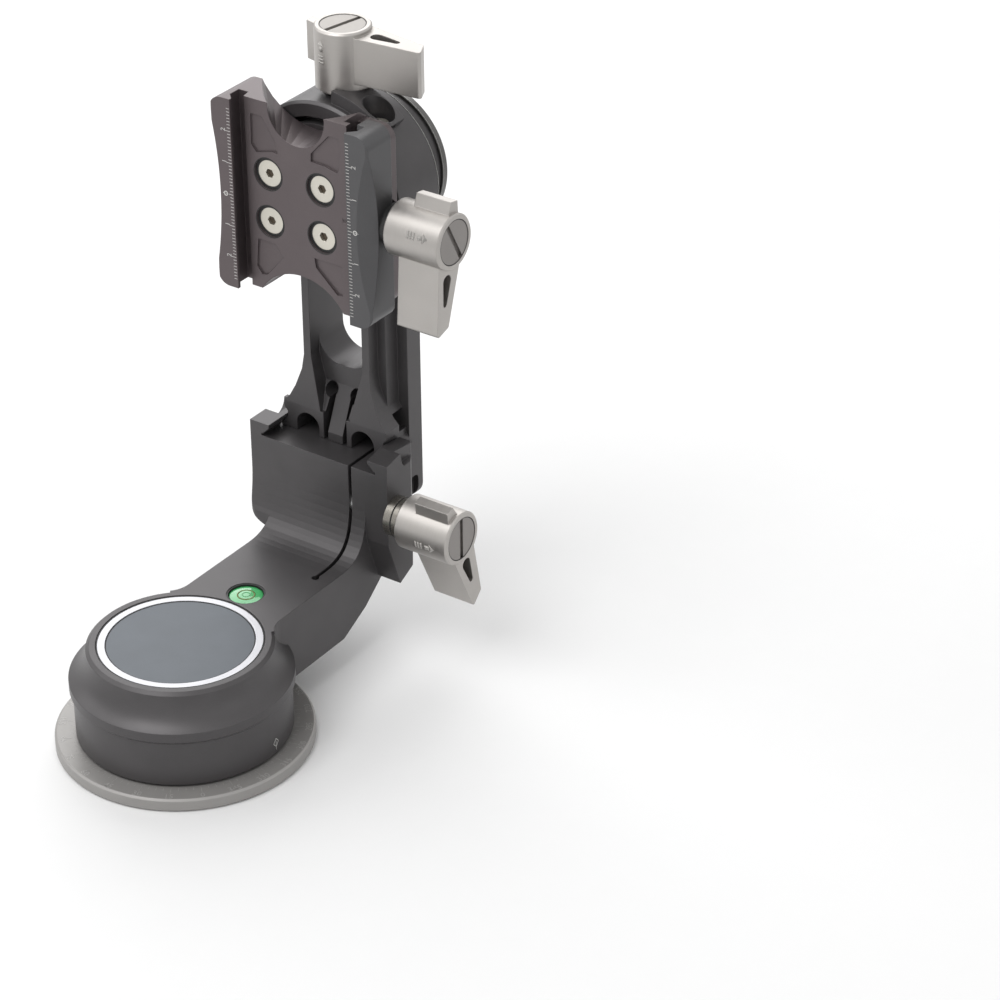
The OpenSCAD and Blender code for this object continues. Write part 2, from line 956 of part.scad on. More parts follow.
module wing_outline() {
    offset(r = wing_edge, $fn = small_fn)
        polygon([
            [0, wing_edge - wing_root_front_share * barrel_r],
            [wing_reach - wing_edge, wing_edge - wing_tip_t / 2],
            [wing_reach - wing_slope - wing_edge, wing_tip_t / 2 - wing_edge],
            [0, wing_root_back_share * barrel_r - wing_edge]
        ]);
}

module fin_outline() {
    polygon([
        [0, -barrel_r / 2], [-barrel_r - fin_reach, -fin_tip_half],
        [-barrel_r - fin_reach, fin_tip_half], [0, barrel_r / 2]
    ]);
}

module lever_shape(h) {
    difference() {
        union() {
            cylinder(r1 = barrel_r - barrel_edge, r2 = barrel_r, h = barrel_edge);
            translate([0, 0, barrel_edge])
                cylinder(r = barrel_r, h = h - 2 * barrel_edge);
            translate([0, 0, h - barrel_edge])
                cylinder(r1 = barrel_r, r2 = barrel_r - barrel_edge, h = barrel_edge);
            translate([0, 0, wing_low])
                linear_extrude(wing_w)
                    wing_outline();
            translate([0, 0, fin_low])
                linear_extrude(h - fin_low - fin_top)
                    fin_outline();
        }
        translate([0, 0, -over])
            cylinder(r = stud_r, h = stud_bite + over);
        translate([0, 0, h - cap_t - cap_sink])
            cylinder(r = cap_r + cap_play, h = cap_t + over);
        translate([0, 0, wing_low - over])
            linear_extrude(wing_w + 2 * over)
                hull() {
                    translate([barrel_r + hole_near, 0])
                        circle(hole_near_r, $fn = small_fn);
                    translate([barrel_r + hole_far, 0])
                        circle(hole_far_r, $fn = small_fn);
                }
    }
}

module lever_cap_shape(h, slot_turn) {
    translate([0, 0, h - cap_t - cap_sink])
        difference() {
            cylinder(r = cap_r, h = cap_t);
            rotate([0, 0, slot_turn])
                translate([-barrel_r, -cap_slot_w / 2, cap_t - cap_slot_depth])
                    cube([2 * barrel_r, cap_slot_w, cap_slot_depth + over]);
        }
}

// Places a lever's parts on an axis along X, with the wing hanging down
module on_x_axis(x, y, z, turn) {
    translate([x, y, z])
        rotate([0, 90, 0])
            rotate([0, 0, turn])
                children();
}

module receiver_washer() {
    color(nickel)
        translate([0, receiver_y, receiver_z])
            difference() {
                bar_x(washer_r, jaw_end_x, jaw_end_x + receiver_washer_t);
                bar_x(stud_r + fit, jaw_end_x - over, jaw_end_x + receiver_washer_t + over);
            }
}

module receiver_collar() {
    color(nickel)
        translate([receiver_lever_x - receiver_collar_t, receiver_y, receiver_z])
            difference() {
                bar_x(washer_r, 0, receiver_collar_t);
                bar_x(stud_r, -over, receiver_collar_t + over);
            }
}

module receiver_stud() {
    color(steel)
        translate([0, receiver_y, receiver_z])
            bar_x(stud_r, receiver_stud_in_x, receiver_lever_x + stud_bite);
}

module receiver_lever() {
    color(titanium)
        on_x_axis(receiver_lever_x, receiver_y, receiver_z, receiver_wing_angle)
            lever_shape(barrel_h);
}

module receiver_lever_cap() {
    color(titanium)
        on_x_axis(receiver_lever_x, receiver_y, receiver_z, 0)
            lever_cap_shape(barrel_h, receiver_slot_turn);
}

// Upright: foot, ribs, plate and head drum

module plate_body() {
    front_prism(plate_front_y, plate_back_y)
        soft_rect(-plate_half, plate_half, plate_low_z, tilt_z,
            [plate_corner_r, plate_corner_r, 0, 0]);
    front_prism(step_front_y, plate_front_y)
        translate([-step_half, foot_top_z])
            square([2 * step_half, tilt_z - foot_top_z]);
}

module foot_section() {
    polygon([
        [-foot_root_half, foot_z], [-foot_root_half, foot_z + foot_foot_h],
        [-foot_neck_half, foot_neck_z], [-foot_neck_half, foot_shelf_z],
        [-foot_half, foot_shelf_z + foot_shelf_rise], [-foot_half, foot_top_z],
        [foot_half, foot_top_z], [foot_half, foot_shelf_z + foot_shelf_rise],
        [foot_neck_half, foot_shelf_z], [foot_neck_half, foot_neck_z],
        [foot_root_half, foot_z + foot_foot_h], [foot_root_half, foot_z]
    ]);
}

module half_rib() {
    translate([rib_in_x, rib_front_y, foot_top_z])
        cube([rib_out_x - rib_in_x, step_front_y - rib_front_y, tilt_z - foot_top_z - head_r / 2]);
    intersection() {
        front_prism(foot_front_y, plate_front_y)
            polygon([
                [shoulder_in_x, foot_top_z - over], [foot_half, foot_top_z - over],
                [foot_half, foot_top_z], [flare_low_x, flare_low_z], [flare_mid_x, flare_mid_z],
                [rib_out_x + edge, flare_high_z], [rib_out_x, shoulder_top_z],
                [rib_in_x, shoulder_top_z], [shoulder_in_x, foot_top_z]
            ]);
        side_prism(shoulder_in_x, foot_half)
            polygon([
                [foot_front_y, foot_top_z - over], [foot_front_y, foot_top_z],
                [rib_front_y, shoulder_top_z], [plate_front_y, shoulder_top_z],
                [plate_front_y, foot_top_z - over]
            ]);
    }
}

module web() {
    side_prism(-rib_in_x, rib_in_x)
        polygon([
            [step_front_y, window_low_z], [step_front_y, slope_top_z],
            [foot_front_y, slope_low_z], [foot_front_y, foot_z + foot_foot_h],
            [plate_front_y, foot_z + foot_foot_h],
            [plate_front_y, window_low_z]
        ]);
}

module tongue_cuts() {
    for (side = [-1, 1]) {
        translate([side * (tongue_half + tongue_slit_w / 2) - tongue_slit_w / 2,
            foot_front_y - over, foot_z - over])
            cube([tongue_slit_w, tongue_depth_y - foot_front_y + over,
                tongue_hole_z - foot_z + over]);
        translate([side * tongue_hole_x, 0, tongue_hole_z])
            bar_y(tongue_hole_r, foot_front_y, tongue_depth_y);
        translate([side * arch_x, 0, foot_z + arch_rise])
            bar_y(arch_r, foot_front_y - over, foot_front_y + arch_depth);
        front_prism(foot_front_y - over, foot_front_y + arch_depth)
            translate([side * arch_x - arch_r, foot_z - over])
                square([2 * arch_r, arch_rise + over]);
    }
    side_prism(-tongue_half - over / 2, tongue_half + over / 2)
        polygon([
            [step_front_y, slope_top_z], [foot_front_y, tongue_low_z],
            [foot_front_y - over, tongue_low_z], [foot_front_y - over, slope_top_z]
        ]);
}

module window() {
    front_prism(rib_front_y - over, plate_back_y + over)
        soft_rect(-rib_in_x, rib_in_x, window_low_z, tilt_z - head_r + window_roof,
            [window_corner_r, window_corner_r, window_top_r, window_top_r]);
}

// Side pockets between the foot and the plate, and a slot in each side of the plate's low end
module side_cuts() {
    for (side = [-1, 1]) {
        translate([side > 0 ? side_pocket_in_x : -side_pocket_in_x - foot_half,
            step_front_y + side_pocket_front, foot_shelf_z])
            cube([foot_half, plate_front_y - step_front_y - side_pocket_front,
                side_pocket_top_z - foot_shelf_z]);
        side_prism(side > 0 ? plate_half - side_slot_depth : -plate_half - over,
            side > 0 ? plate_half + over : side_slot_depth - plate_half)
            soft_rect(side_slot_y, side_slot_y + side_slot_w, plate_low_z - over, side_slot_top_z,
                [0, 0, 0, side_slot_w / 2]);
    }
}

module head_solid() {
    about_tilt()
        polygon([
            [0, head_front_y], [head_r - head_edge, head_front_y],
            [head_r, head_front_y + head_edge], [head_r, head_back_y - head_edge],
            [head_r - head_edge, head_back_y], [0, head_back_y]
        ]);
    translate([0, 0, tilt_z])
        rotate([-90, 0, 0])
            rotate_extrude(angle = pad_sweep, start = pad_start - 90)
                polygon([
                    [head_r - over, pad_front_y], [pad_r, pad_front_y], [pad_r, pad_flat_y],
                    [head_r, pad_back_y], [head_r - over, pad_back_y]
                ]);
}

module head_bores() {
    about_tilt()
        polygon([
            [0, head_front_y - over], [front_recess_r, head_front_y - over],
            [front_recess_r, front_race_y], [tilt_race_r, front_race_y],
            [tilt_race_r, front_race_y + tilt_race_w], [tilt_land_r, front_race_y + tilt_race_w],
            [tilt_land_r, rear_race_y], [tilt_race_r, rear_race_y],
            [tilt_race_r, head_back_y + over], [0, head_back_y + over]
        ]);
    translate([0, tilt_lever_y, tilt_z]) {
        cylinder(r = stud_r + fit, h = 2 * head_r);
        cylinder(r = shoe_r + fit, h = tilt_bore_r + fit + shoe_h + gap);
        translate([0, 0, head_r - neck_seat_drop])
            cylinder(r = neck_seat_r, h = head_r);
        translate([0, 0, head_r - neck_seat_drop + neck_h / 2])
            cylinder(r = barrel_r + gap, h = head_r);
    }
    at_pad_screw() {
        translate([0, 0, pad_screw_low_z])
            cylinder(r = pad_screw_r, h = pad_r);
        translate([0, 0, pad_well_floor_z])
            cylinder(r = pad_well_r, h = pad_r);
    }
}

module at_pad_screw() {
    translate([pad_screw_x, pad_screw_y, tilt_z])
        children();
}

module vertical_arm() {
    color(anodised)
        difference() {
            union() {
                plate_body();
                front_prism(foot_front_y, plate_front_y)
                    foot_section();
                half_rib();
                mirror([1, 0, 0])
                    half_rib();
                web();
                head_solid();
            }
            window();
            head_bores();
            side_cuts();
            tongue_cuts();
        }
}

module tilt_front_outer_race() {
    color(steel)
        on_tilt(front_race_y)
            outer_race(tilt_bore_r, tilt_race_r, tilt_race_w);
}

module tilt_rear_outer_race() {
    color(steel)
        on_tilt(rear_race_y)
            outer_race(tilt_bore_r, tilt_race_r, tilt_race_w);
}

// Places a piece on the tilt axis, with its own Z along +Y
module on_tilt(y) {
    translate([0, y, tilt_z])
        rotate([-90, 0, 0])
            children();
}

module tilt_brake_shoe() {
    color(bronze)
        difference() {
            translate([0, tilt_lever_y, tilt_z])
                cylinder(r = shoe_r, h = tilt_bore_r + fit + shoe_h);
            on_tilt(0)
                cylinder(r = tilt_bore_r + fit, h = head_back_y);
        }
}

module bearing_screw() {
    color(nickel)
        at_pad_screw()
            difference() {
                union() {
                    translate([0, 0, pad_well_floor_z])
                        cylinder(r = pad_screw_head_r, h = pad_screw_head_h);
                    translate([0, 0, pad_screw_low_z])
                        cylinder(r = pad_screw_r, h = pad_well_floor_z - pad_screw_low_z + fit);
                }
                translate([0, 0, pad_well_floor_z + pad_screw_head_h - hex_depth])
                    cylinder(r = hex_r, h = pad_screw_head_h, $fn = hex_fn);
            }
}

module tilt_lever_neck() {
    color(neck_black)
        translate([0, tilt_lever_y, tilt_z + head_r - neck_seat_drop])
            difference() {
                cylinder(r = neck_ring_r, h = neck_h);
                translate([0, 0, -over])
                    cylinder(r = stud_r + fit, h = neck_h + 2 * over);
            }
}

// Places the tilt lever's parts
module at_tilt_lever() {
    translate([0, tilt_lever_y, tilt_z + head_r - neck_seat_drop + neck_h + fit])
        children();
}

module tilt_lever() {
    color(titanium)
        at_tilt_lever()
            lever_shape(barrel_h);
}

module tilt_lever_cap() {
    color(titanium)
        at_tilt_lever()
            lever_cap_shape(barrel_h, tilt_slot_turn);
}

module tilt_stud() {
    stud_low_z = tilt_bore_r + fit + shoe_h + fit;
    color(steel)
        translate([0, tilt_lever_y, tilt_z + stud_low_z])
            cylinder(r = stud_r, h = head_r - neck_seat_drop + neck_h + fit + stud_bite - stud_low_z);
}

// Rotor: hub, bearings and disc

module at_hub_screws() {
    on_tilt(0)
        for (i = [0 : hub_screw_count - 1])
            rotate([0, 0, 90 + 360 * i / hub_screw_count])
                translate([hub_screw_ring_r, 0, tilt_disc_y + tilt_disc_t])
                    children();
}

module tilt_hub() {
    color(anodised)
        difference() {
            about_tilt()
                polygon([
                    [hub_hollow_r, clamp_back_y], [hub_front_r, clamp_back_y],
                    [hub_front_r, hub_flange_y], [hub_shoulder_r, hub_flange_y],
                    [hub_shoulder_r, front_race_y], [tilt_bore_r, front_race_y],
                    [tilt_bore_r, tilt_disc_y], [hub_hollow_r, tilt_disc_y],
                    [hub_hollow_r, hub_room_back_y], [hub_room_r, hub_room_back_y],
                    [hub_room_r, hub_room_front_y], [hub_hollow_r, hub_room_front_y]
                ]);
            at_clamp_screws()
                cylinder_down(clamp_screw_r, clamp_screw_len + over);
            at_hub_screws()
                cylinder_down(hub_screw_r, hub_screw_len + gap);
        }
}

module tilt_front_inner_race() {
    color(steel)
        on_tilt(front_race_y)
            inner_race(tilt_bore_r, tilt_race_r, tilt_race_w);
}

module tilt_front_balls() {
    color(bright)
        on_tilt(front_race_y)
            ball_row(tilt_bore_r, tilt_race_r, tilt_race_w, tilt_ball_count);
}

module tilt_rear_inner_race() {
    color(steel)
        on_tilt(rear_race_y)
            inner_race(tilt_bore_r, tilt_race_r, tilt_race_w);
}

module tilt_rear_balls() {
    color(bright)
        on_tilt(rear_race_y)
            ball_row(tilt_bore_r, tilt_race_r, tilt_race_w, tilt_ball_count);
}

module tilt_collar() {
    color(anodised)
        about_tilt()
            polygon([
                [tilt_bore_r, head_back_y], [hub_shoulder_r, head_back_y],
                [hub_shoulder_r, collar_y], [collar_r, collar_y],
                [collar_r, tilt_disc_y], [collar_r - collar_wall, tilt_disc_y],
                [collar_r - collar_wall, collar_y + collar_floor_t],
                [hub_shoulder_r, collar_y + collar_floor_t], [hub_shoulder_r, tilt_disc_y],
                [tilt_bore_r, tilt_disc_y]
            ]);
}

module tilt_disc() {
    color(bright)
        difference() {
            about_tilt()
                polygon([
                    [0, tilt_disc_y], [tilt_disc_r, tilt_disc_y],
                    [tilt_disc_r, tilt_disc_y + tilt_disc_t - small_edge],
                    [tilt_disc_r - small_edge, tilt_disc_y + tilt_disc_t],
                    [disc_dish_r, tilt_disc_y + tilt_disc_t],
                    [disc_dish_r, tilt_disc_y + tilt_disc_t - disc_dish_depth],
                    [0, tilt_disc_y + tilt_disc_t - disc_dish_depth]
                ]);
            at_hub_screws()
                flat_seat(2 * hub_screw_r, hub_screw_r, small_edge, hub_screw_r,
                    tilt_disc_t + over);
        }
}

module tilt_disc_screws() {
    color(nickel)
        at_hub_screws()
            flat_screw(2 * hub_screw_r, hub_screw_r, small_edge, hub_screw_r, hub_screw_len,
                hub_socket_r, hub_socket_depth);
}

// Lens clamp

// Places the four clamp screws, with each head's face at height zero
module at_clamp_screws() {
    for (sx = [-1, 1])
        for (sz = [-1, 1])
            translate([sx * screw_x, clamp_floor_y + clamp_well_depth, tilt_z + sz * screw_z])
                rotate([90, 0, 0])
                    children();
}

module jaw_ends_outline(x0, x1, corners) {
    soft_rect(x0, x1, tilt_z - clamp_h / 2, tilt_z + clamp_h / 2, corners);
}

module body_section() {
    polygon([
        [-fixed_out_x, clamp_back_y - edge], [-fixed_out_x, clamp_face_y + edge],
        [edge - fixed_out_x, clamp_face_y], [-fixed_tip_x, clamp_face_y],
        [-fixed_tip_x, clamp_face_y + lip_t],
        [-fixed_tip_x - lip_flank, clamp_face_y + lip_t + lip_flank],
        [-fixed_tip_x - lip_flank, groove_y], [-groove_end_x, groove_y],
        [edge - groove_end_x, clamp_floor_y], [shelf_x, clamp_floor_y], [shelf_x, shelf_y],
        [split_x, shelf_y], [split_x, clamp_back_y], [edge - fixed_out_x, clamp_back_y]
    ]);
}

// A round bite out of the body's bottom, and a trough in its top that widens to the back
module body_scallops() {
    translate([scallop_x, 0, tilt_z - clamp_h / 2 - scallop_r + scallop_depth])
        bar_y(scallop_r, clamp_face_y - over, clamp_back_y + over);
    hull() {
        trough_end(trough_front_x, trough_front_r, clamp_floor_y - over);
        trough_end(trough_back_x, trough_back_r, clamp_back_y + over);
    }
}

module trough_end(x, r, y) {
    translate([x, y, tilt_z + clamp_h / 2 - trough_depth + r])
        rotate([90, 0, 0])
            cylinder(r = r, h = fit, center = true, $fn = small_fn);
}

// Shallow corner recesses in the body's face, as (sideways, upright) from the clamp's centre
module face_recesses() {
    front_prism(clamp_floor_y - over, clamp_floor_y + recess_depth)
        translate([0, tilt_z])
            for (outline = recess_outlines)
                polygon(outline);
}

module guides() {
    for (side = [-1, 1])
        translate([0, guide_y, tilt_z + side * guide_z])
            children();
}

module clamp_body() {
    color(anodised_plate)
        difference() {
            union() {
                intersection() {
                    translate([0, 0, tilt_z - clamp_h / 2])
                        linear_extrude(clamp_h)
                            body_section();
                    front_prism(clamp_face_y - over, clamp_back_y + over)
                        jaw_ends_outline(-fixed_out_x, shelf_x, [jaw_corner_r, 0, jaw_corner_r, 0]);
                }
                front_prism(strip_front_y, clamp_back_y)
                    soft_rect(split_x - over, strip_x, strip_low_z, strip_top_z,
                        [0, jaw_corner_r, 0, jaw_corner_r]);
            }
            body_scallops();
            face_recesses();
            translate([-fixed_out_x - waist_r + waist_depth, 0, tilt_z])
                bar_y(waist_r, clamp_face_y - over, clamp_back_y + over);
            at_clamp_screws() {
                flat_seat(clamp_head_r, clamp_head_h, clamp_head_rim, clamp_screw_r,
                    clamp_screw_len);
                cylinder(r = clamp_well_r, h = clamp_well_depth + over);
            }
            translate([0, stud_y, tilt_z]) {
                bar_x(stud_r + fit, lens_stud_in_x - lens_stud_room, strip_x + over);
                bar_x(washer_r + gap, split_x, strip_x + over);
            }
            guides() {
                bar_x(guide_r, guide_in_x, split_x + over);
                bar_x(spring_room_r, spring_room_x, shelf_x + over);
            }
        }
}

module clamp_screws() {
    color(nickel)
        at_clamp_screws()
            flat_screw(clamp_head_r, clamp_head_h, clamp_head_rim, clamp_screw_r,
                clamp_screw_len, hex_r, hex_depth);
}

module jaw_guide_pins() {
    color(steel)
        guides()
            bar_x(guide_r, guide_in_x, guide_out_x);
}

// Middle line of the coil about the X axis from x0 to x1
function coil_line(x0, x1, coil_r, curls, steps) = [
    for (i = [0 : curls * steps]) let (turn = 360 * i / steps)
        [x0 + (x1 - x0) * i / (curls * steps), coil_r * cos(turn), coil_r * sin(turn)]
];

// Least gap between one curl of the wire and another
function coil_gap(line, wire_r, steps) = min([
    for (i = [0 : len(line) - 1 - steps / 2])
        for (j = [i + steps / 2 : len(line) - 1])
            norm(line[i] - line[j])
]) - 2 * wire_r;

// Coil about the X axis from x0 to x1, as rings of a round wire
module coil(x0, x1, coil_r, wire_r, curls, steps, sides) {
    count = curls * steps;
    points = [
        for (i = [0 : count]) let (turn = 360 * i / steps, x = x0 + (x1 - x0) * i / count)
            for (k = [0 : sides - 1]) let (a = 360 * k / sides)
                [x + wire_r * sin(a), (coil_r + wire_r * cos(a)) * cos(turn),
                    (coil_r + wire_r * cos(a)) * sin(turn)]
    ];
    walls = [
        for (i = [0 : count - 1])
            for (k = [0 : sides - 1]) let (n = (k + 1) % sides)
                for (f = [[i * sides + k, i * sides + n, (i + 1) * sides + n],
                        [i * sides + k, (i + 1) * sides + n, (i + 1) * sides + k]])
                    f
    ];
    ends = [
        for (k = [1 : sides - 2])
            for (f = [[0, k + 1, k], [count * sides, count * sides + k, count * sides + k + 1]])
                f
    ];
    polyhedron(points, concat(walls, ends));
}

module jaw_springs() {
    echo(least_gap_between_spring_curls = coil_gap(
        coil_line(spring_room_x + spring_wire_r, jaw_inner_x - spring_wire_r, spring_mid_r,
            spring_curls, spring_steps), spring_wire_r, spring_steps));
    color(steel)
        guides()
            coil(spring_room_x + spring_wire_r, jaw_inner_x - spring_wire_r, spring_mid_r,
                spring_wire_r, spring_curls, spring_steps, spring_sides);
}

module jaw_section() {
    polygon([
        [moving_tip_x, clamp_face_y], [moving_out_x - edge, clamp_face_y],
        [moving_out_x, clamp_face_y + edge], [moving_out_x, jaw_back_y],
        [jaw_inner_x, jaw_back_y], [jaw_inner_x, shelf_y + gap],
        [moving_tip_x + lip_flank, shelf_y + gap],
        [moving_tip_x + lip_flank, clamp_face_y + lip_t + lip_flank],
        [moving_tip_x, clamp_face_y + lip_t]
    ]);
}

module movable_jaw() {
    color(anodised_plate)
        difference() {
            union() {
                intersection() {
                    translate([0, 0, tilt_z - clamp_h / 2])
                        linear_extrude(clamp_h)
                            jaw_section();
                    front_prism(clamp_face_y - over, clamp_back_y)
                        jaw_ends_outline(jaw_inner_x, moving_out_x,
                            [small_edge, jaw_corner_r, small_edge, jaw_corner_r]);
                }
                translate([0, stud_y, tilt_z])
                    bar_x(boss_r, jaw_inner_x, moving_out_x);
            }
            // Curved facet along the outer front edge
            translate([moving_out_x, clamp_face_y, tilt_z])
                rotate([0, 0, -45])
                    translate([facet_r - facet_depth, 0, 0])
                        rotate([90, 0, 0])
                            cylinder(r = facet_r, h = clamp_h, center = true);
            translate([0, stud_y, tilt_z])
                bar_x(stud_r + fit, jaw_inner_x - over, moving_out_x + over);
            guides()
                bar_x(guide_r + fit, jaw_inner_x - over, guide_out_x + guide_room);
        }
}

module lens_washer() {
    color(nickel)
        translate([moving_out_x, stud_y, tilt_z])
            difference() {
                bar_x(washer_r, 0, lens_washer_t - fit);
                bar_x(stud_r + fit, -over, lens_washer_t + over);
            }
}

module lens_lever() {
    color(titanium)
        on_x_axis(lens_lever_x, stud_y, tilt_z, lens_wing_angle)
            lever_shape(barrel_h);
}

module lens_lever_cap() {
    color(titanium)
        on_x_axis(lens_lever_x, stud_y, tilt_z, 0)
            lever_cap_shape(barrel_h, lens_slot_turn);
}

module lens_stud() {
    color(steel)
        translate([0, stud_y, tilt_z])
            bar_x(stud_r, lens_stud_in_x, lens_lever_x + stud_bite);
}

base_disc();
thread_bush();
pan_spindle();
disc_screws();
pan_lower_inner_race();
pan_lower_balls();
pan_upper_inner_race();
pan_upper_balls();
race_spacer();
spindle_nut();
swing_arm();
pan_lower_outer_race();
pan_upper_outer_race();
cap_ring();
cap_disc();
level_cup();
level_vial();
pan_lock_pad();
receiver_washer();
pan_knob();
pan_lock_screw();
receiver_lever();
receiver_lever_cap();
receiver_stud();
receiver_collar();
vertical_arm();
tilt_front_outer_race();
tilt_rear_outer_race();
tilt_brake_shoe();
bearing_screw();
tilt_lever_neck();
tilt_lever();
tilt_lever_cap();
tilt_stud();
tilt_hub();
tilt_front_inner_race();
tilt_front_balls();
tilt_rear_inner_race();
tilt_rear_balls();
tilt_collar();
tilt_disc();
tilt_disc_screws();
clamp_body();
clamp_screws();
jaw_guide_pins();
jaw_springs();
movable_jaw();
lens_washer();
lens_lever();
lens_lever_cap();
lens_stud();
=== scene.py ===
"""Gimbal tripod head: finishes, engraved scales and small fittings laid over its solid model."""
import math

import bpy
import numpy as np
from mathutils import Matrix, Vector


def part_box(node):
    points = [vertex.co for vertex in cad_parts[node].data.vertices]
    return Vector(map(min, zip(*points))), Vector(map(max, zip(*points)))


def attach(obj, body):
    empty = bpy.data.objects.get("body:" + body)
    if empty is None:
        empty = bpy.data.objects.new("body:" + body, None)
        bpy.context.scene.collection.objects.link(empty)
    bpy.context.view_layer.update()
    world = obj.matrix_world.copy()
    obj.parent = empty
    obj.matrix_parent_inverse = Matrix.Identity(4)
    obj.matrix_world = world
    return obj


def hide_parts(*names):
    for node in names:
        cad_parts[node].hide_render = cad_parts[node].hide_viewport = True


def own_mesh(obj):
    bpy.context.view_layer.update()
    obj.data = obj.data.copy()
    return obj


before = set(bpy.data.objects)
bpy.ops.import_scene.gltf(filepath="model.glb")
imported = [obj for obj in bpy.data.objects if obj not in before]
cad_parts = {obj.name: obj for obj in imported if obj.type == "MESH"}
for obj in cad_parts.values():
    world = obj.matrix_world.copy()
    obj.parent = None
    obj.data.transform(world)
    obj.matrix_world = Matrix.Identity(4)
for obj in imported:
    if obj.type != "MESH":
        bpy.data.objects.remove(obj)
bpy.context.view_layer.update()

bl_info = {
    "name": "Gimbal tripod head",
    "version": (1, 0, 0),
    "blender": (4, 5, 0),
    "location": "3D View > Sidebar > Gimbal head",
    "description": "Finishes, scales and fittings for a gimbal tripod head",
    "category": "Object",
}

MM = 0.001
MICRON = 0.001 * MM


def middle_of(node):
    """The middle of a node's box."""
    low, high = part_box(node)
    return (low + high) / 2


# Places that follow the solid model, in metres
DISC_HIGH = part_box("base_disc")[1]
DISC_R = DISC_HIGH.x
DISC_TOP = DISC_HIGH.z
CLAMP_LOW, CLAMP_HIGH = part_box("clamp_body")
CLAMP_FACE_Y = CLAMP_LOW.y
TILT_Z = (CLAMP_LOW.z + CLAMP_HIGH.z) / 2
JAW_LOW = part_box("movable_jaw")[0]
LENS_AXIS = middle_of("lens_stud")
RECEIVER_AXIS = middle_of("receiver_stud")
TILT_LEVER_AXIS = middle_of("tilt_stud")
KNOB_AXIS = middle_of("pan_knob")
LEVEL_LOW, LEVEL_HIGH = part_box("level_vial")
LEVEL_CENTRE = (LEVEL_LOW + LEVEL_HIGH) / 2
LEVEL_R = (LEVEL_HIGH.x - LEVEL_LOW.x) / 2
SPRING_LOW, SPRING_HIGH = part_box("jaw_springs")

# Sizes of the solid model that no box shows: the pan drum, the levers' barrels, the tilt head's drum and
# its broken edge, the clamp screws and their wells, the fixed jaw's scale edge and the jaw's travel
DRUM_R = 32 * MM
BARREL_R = 8.4 * MM
HEAD_R = 27.0 * MM
HEAD_EDGE = 0.8 * MM
SCREW_HEAD_R = 4.05 * MM
WELL_R = 4.9 * MM
WELL_DEPTH = 0.8 * MM
FIXED_JAW_EDGE_X = -18.8 * MM

# Turns that lay a pattern's axis along X or Y, and the knob's, which points 150 degrees round the drum
X_AXIS_TURN = (0.0, math.pi / 2, 0.0)
Y_AXIS_TURN = (-math.pi / 2, 0.0, 0.0)
KNOB_TURN = (0.0, math.pi / 2, math.radians(150.0))

# Walls of the thin pieces, and how far painted shade and painted edge highlights lie above the metal
MARK_WALL = 0.05 * MM
INDEX_WALL = 0.06 * MM
PRINT_WALL = 0.04 * MM
SHADE_WALL = 0.03 * MM
LIFT = 0.02 * MM

# Lever marks: each one's middle on its lever's axis, that axis, the angle round it, and the body
LEVER_MARKS = {
    "lens_lever_marks": ((44.0 * MM, LENS_AXIS.y, LENS_AXIS.z), (1, 0, 0), 160.0, "lens_lock"),
    "receiver_lever_marks": ((42.4 * MM, RECEIVER_AXIS.y, RECEIVER_AXIS.z), (1, 0, 0), -171.0,
                             "receiver_lock"),
    "tilt_lever_marks": ((0, TILT_LEVER_AXIS.y, 189.0 * MM), (0, 0, 1), -103.0, "tilt_lock"),
}

# Stage, in metres: half the floor's width, what the lamps aim at, each lamp's place and width, and the
# camera's place; the sensor's width is in millimetres, as Blender asks
FLOOR_HALF = 4.0
LAMP_AIM = Vector((0.0, 0.045, 0.09))
LAMP_PLACES = {
    "key": ((-0.15, -0.55, 1.20), 0.9),
    "side": ((1.15, 0.05, 0.55), 0.7),
    "fill_left": ((-1.0, -0.35, 0.75), 0.8),
    "back": ((-0.58, 0.86, 0.90), 1.4),
}
CAMERA_PLACE = (0.55386, -0.63403, 0.58133)
SENSOR_WIDTH_MM = 36.0


def length_value(label, text, size_mm):
    """A length that a user may change, in metres."""
    return bpy.props.FloatProperty(name=label, description=text, default=size_mm * MM, unit="LENGTH",
                                   min=0.0, precision=5)


def colour_value(label, text, rgb):
    """A colour that a user may change, linear."""
    return bpy.props.FloatVectorProperty(name=label, description=text, default=rgb, subtype="COLOR",
                                         size=3, min=0.0, max=1.0)


def share_value(label, text, share):
    """A share from nothing to all."""
    return bpy.props.FloatProperty(name=label, description=text, default=share, subtype="FACTOR",
                                   min=0.0, max=1.0)


def angle_value(label, text, degrees):
    """An angle that a user may change."""
    return bpy.props.FloatProperty(name=label, description=text, default=math.radians(degrees),
                                   subtype="ANGLE")


def power_value(label, text, value):
    """A lamp's power in watts, or the strength of the even light."""
    return bpy.props.FloatProperty(name=label, description=text, default=value, min=0.0)


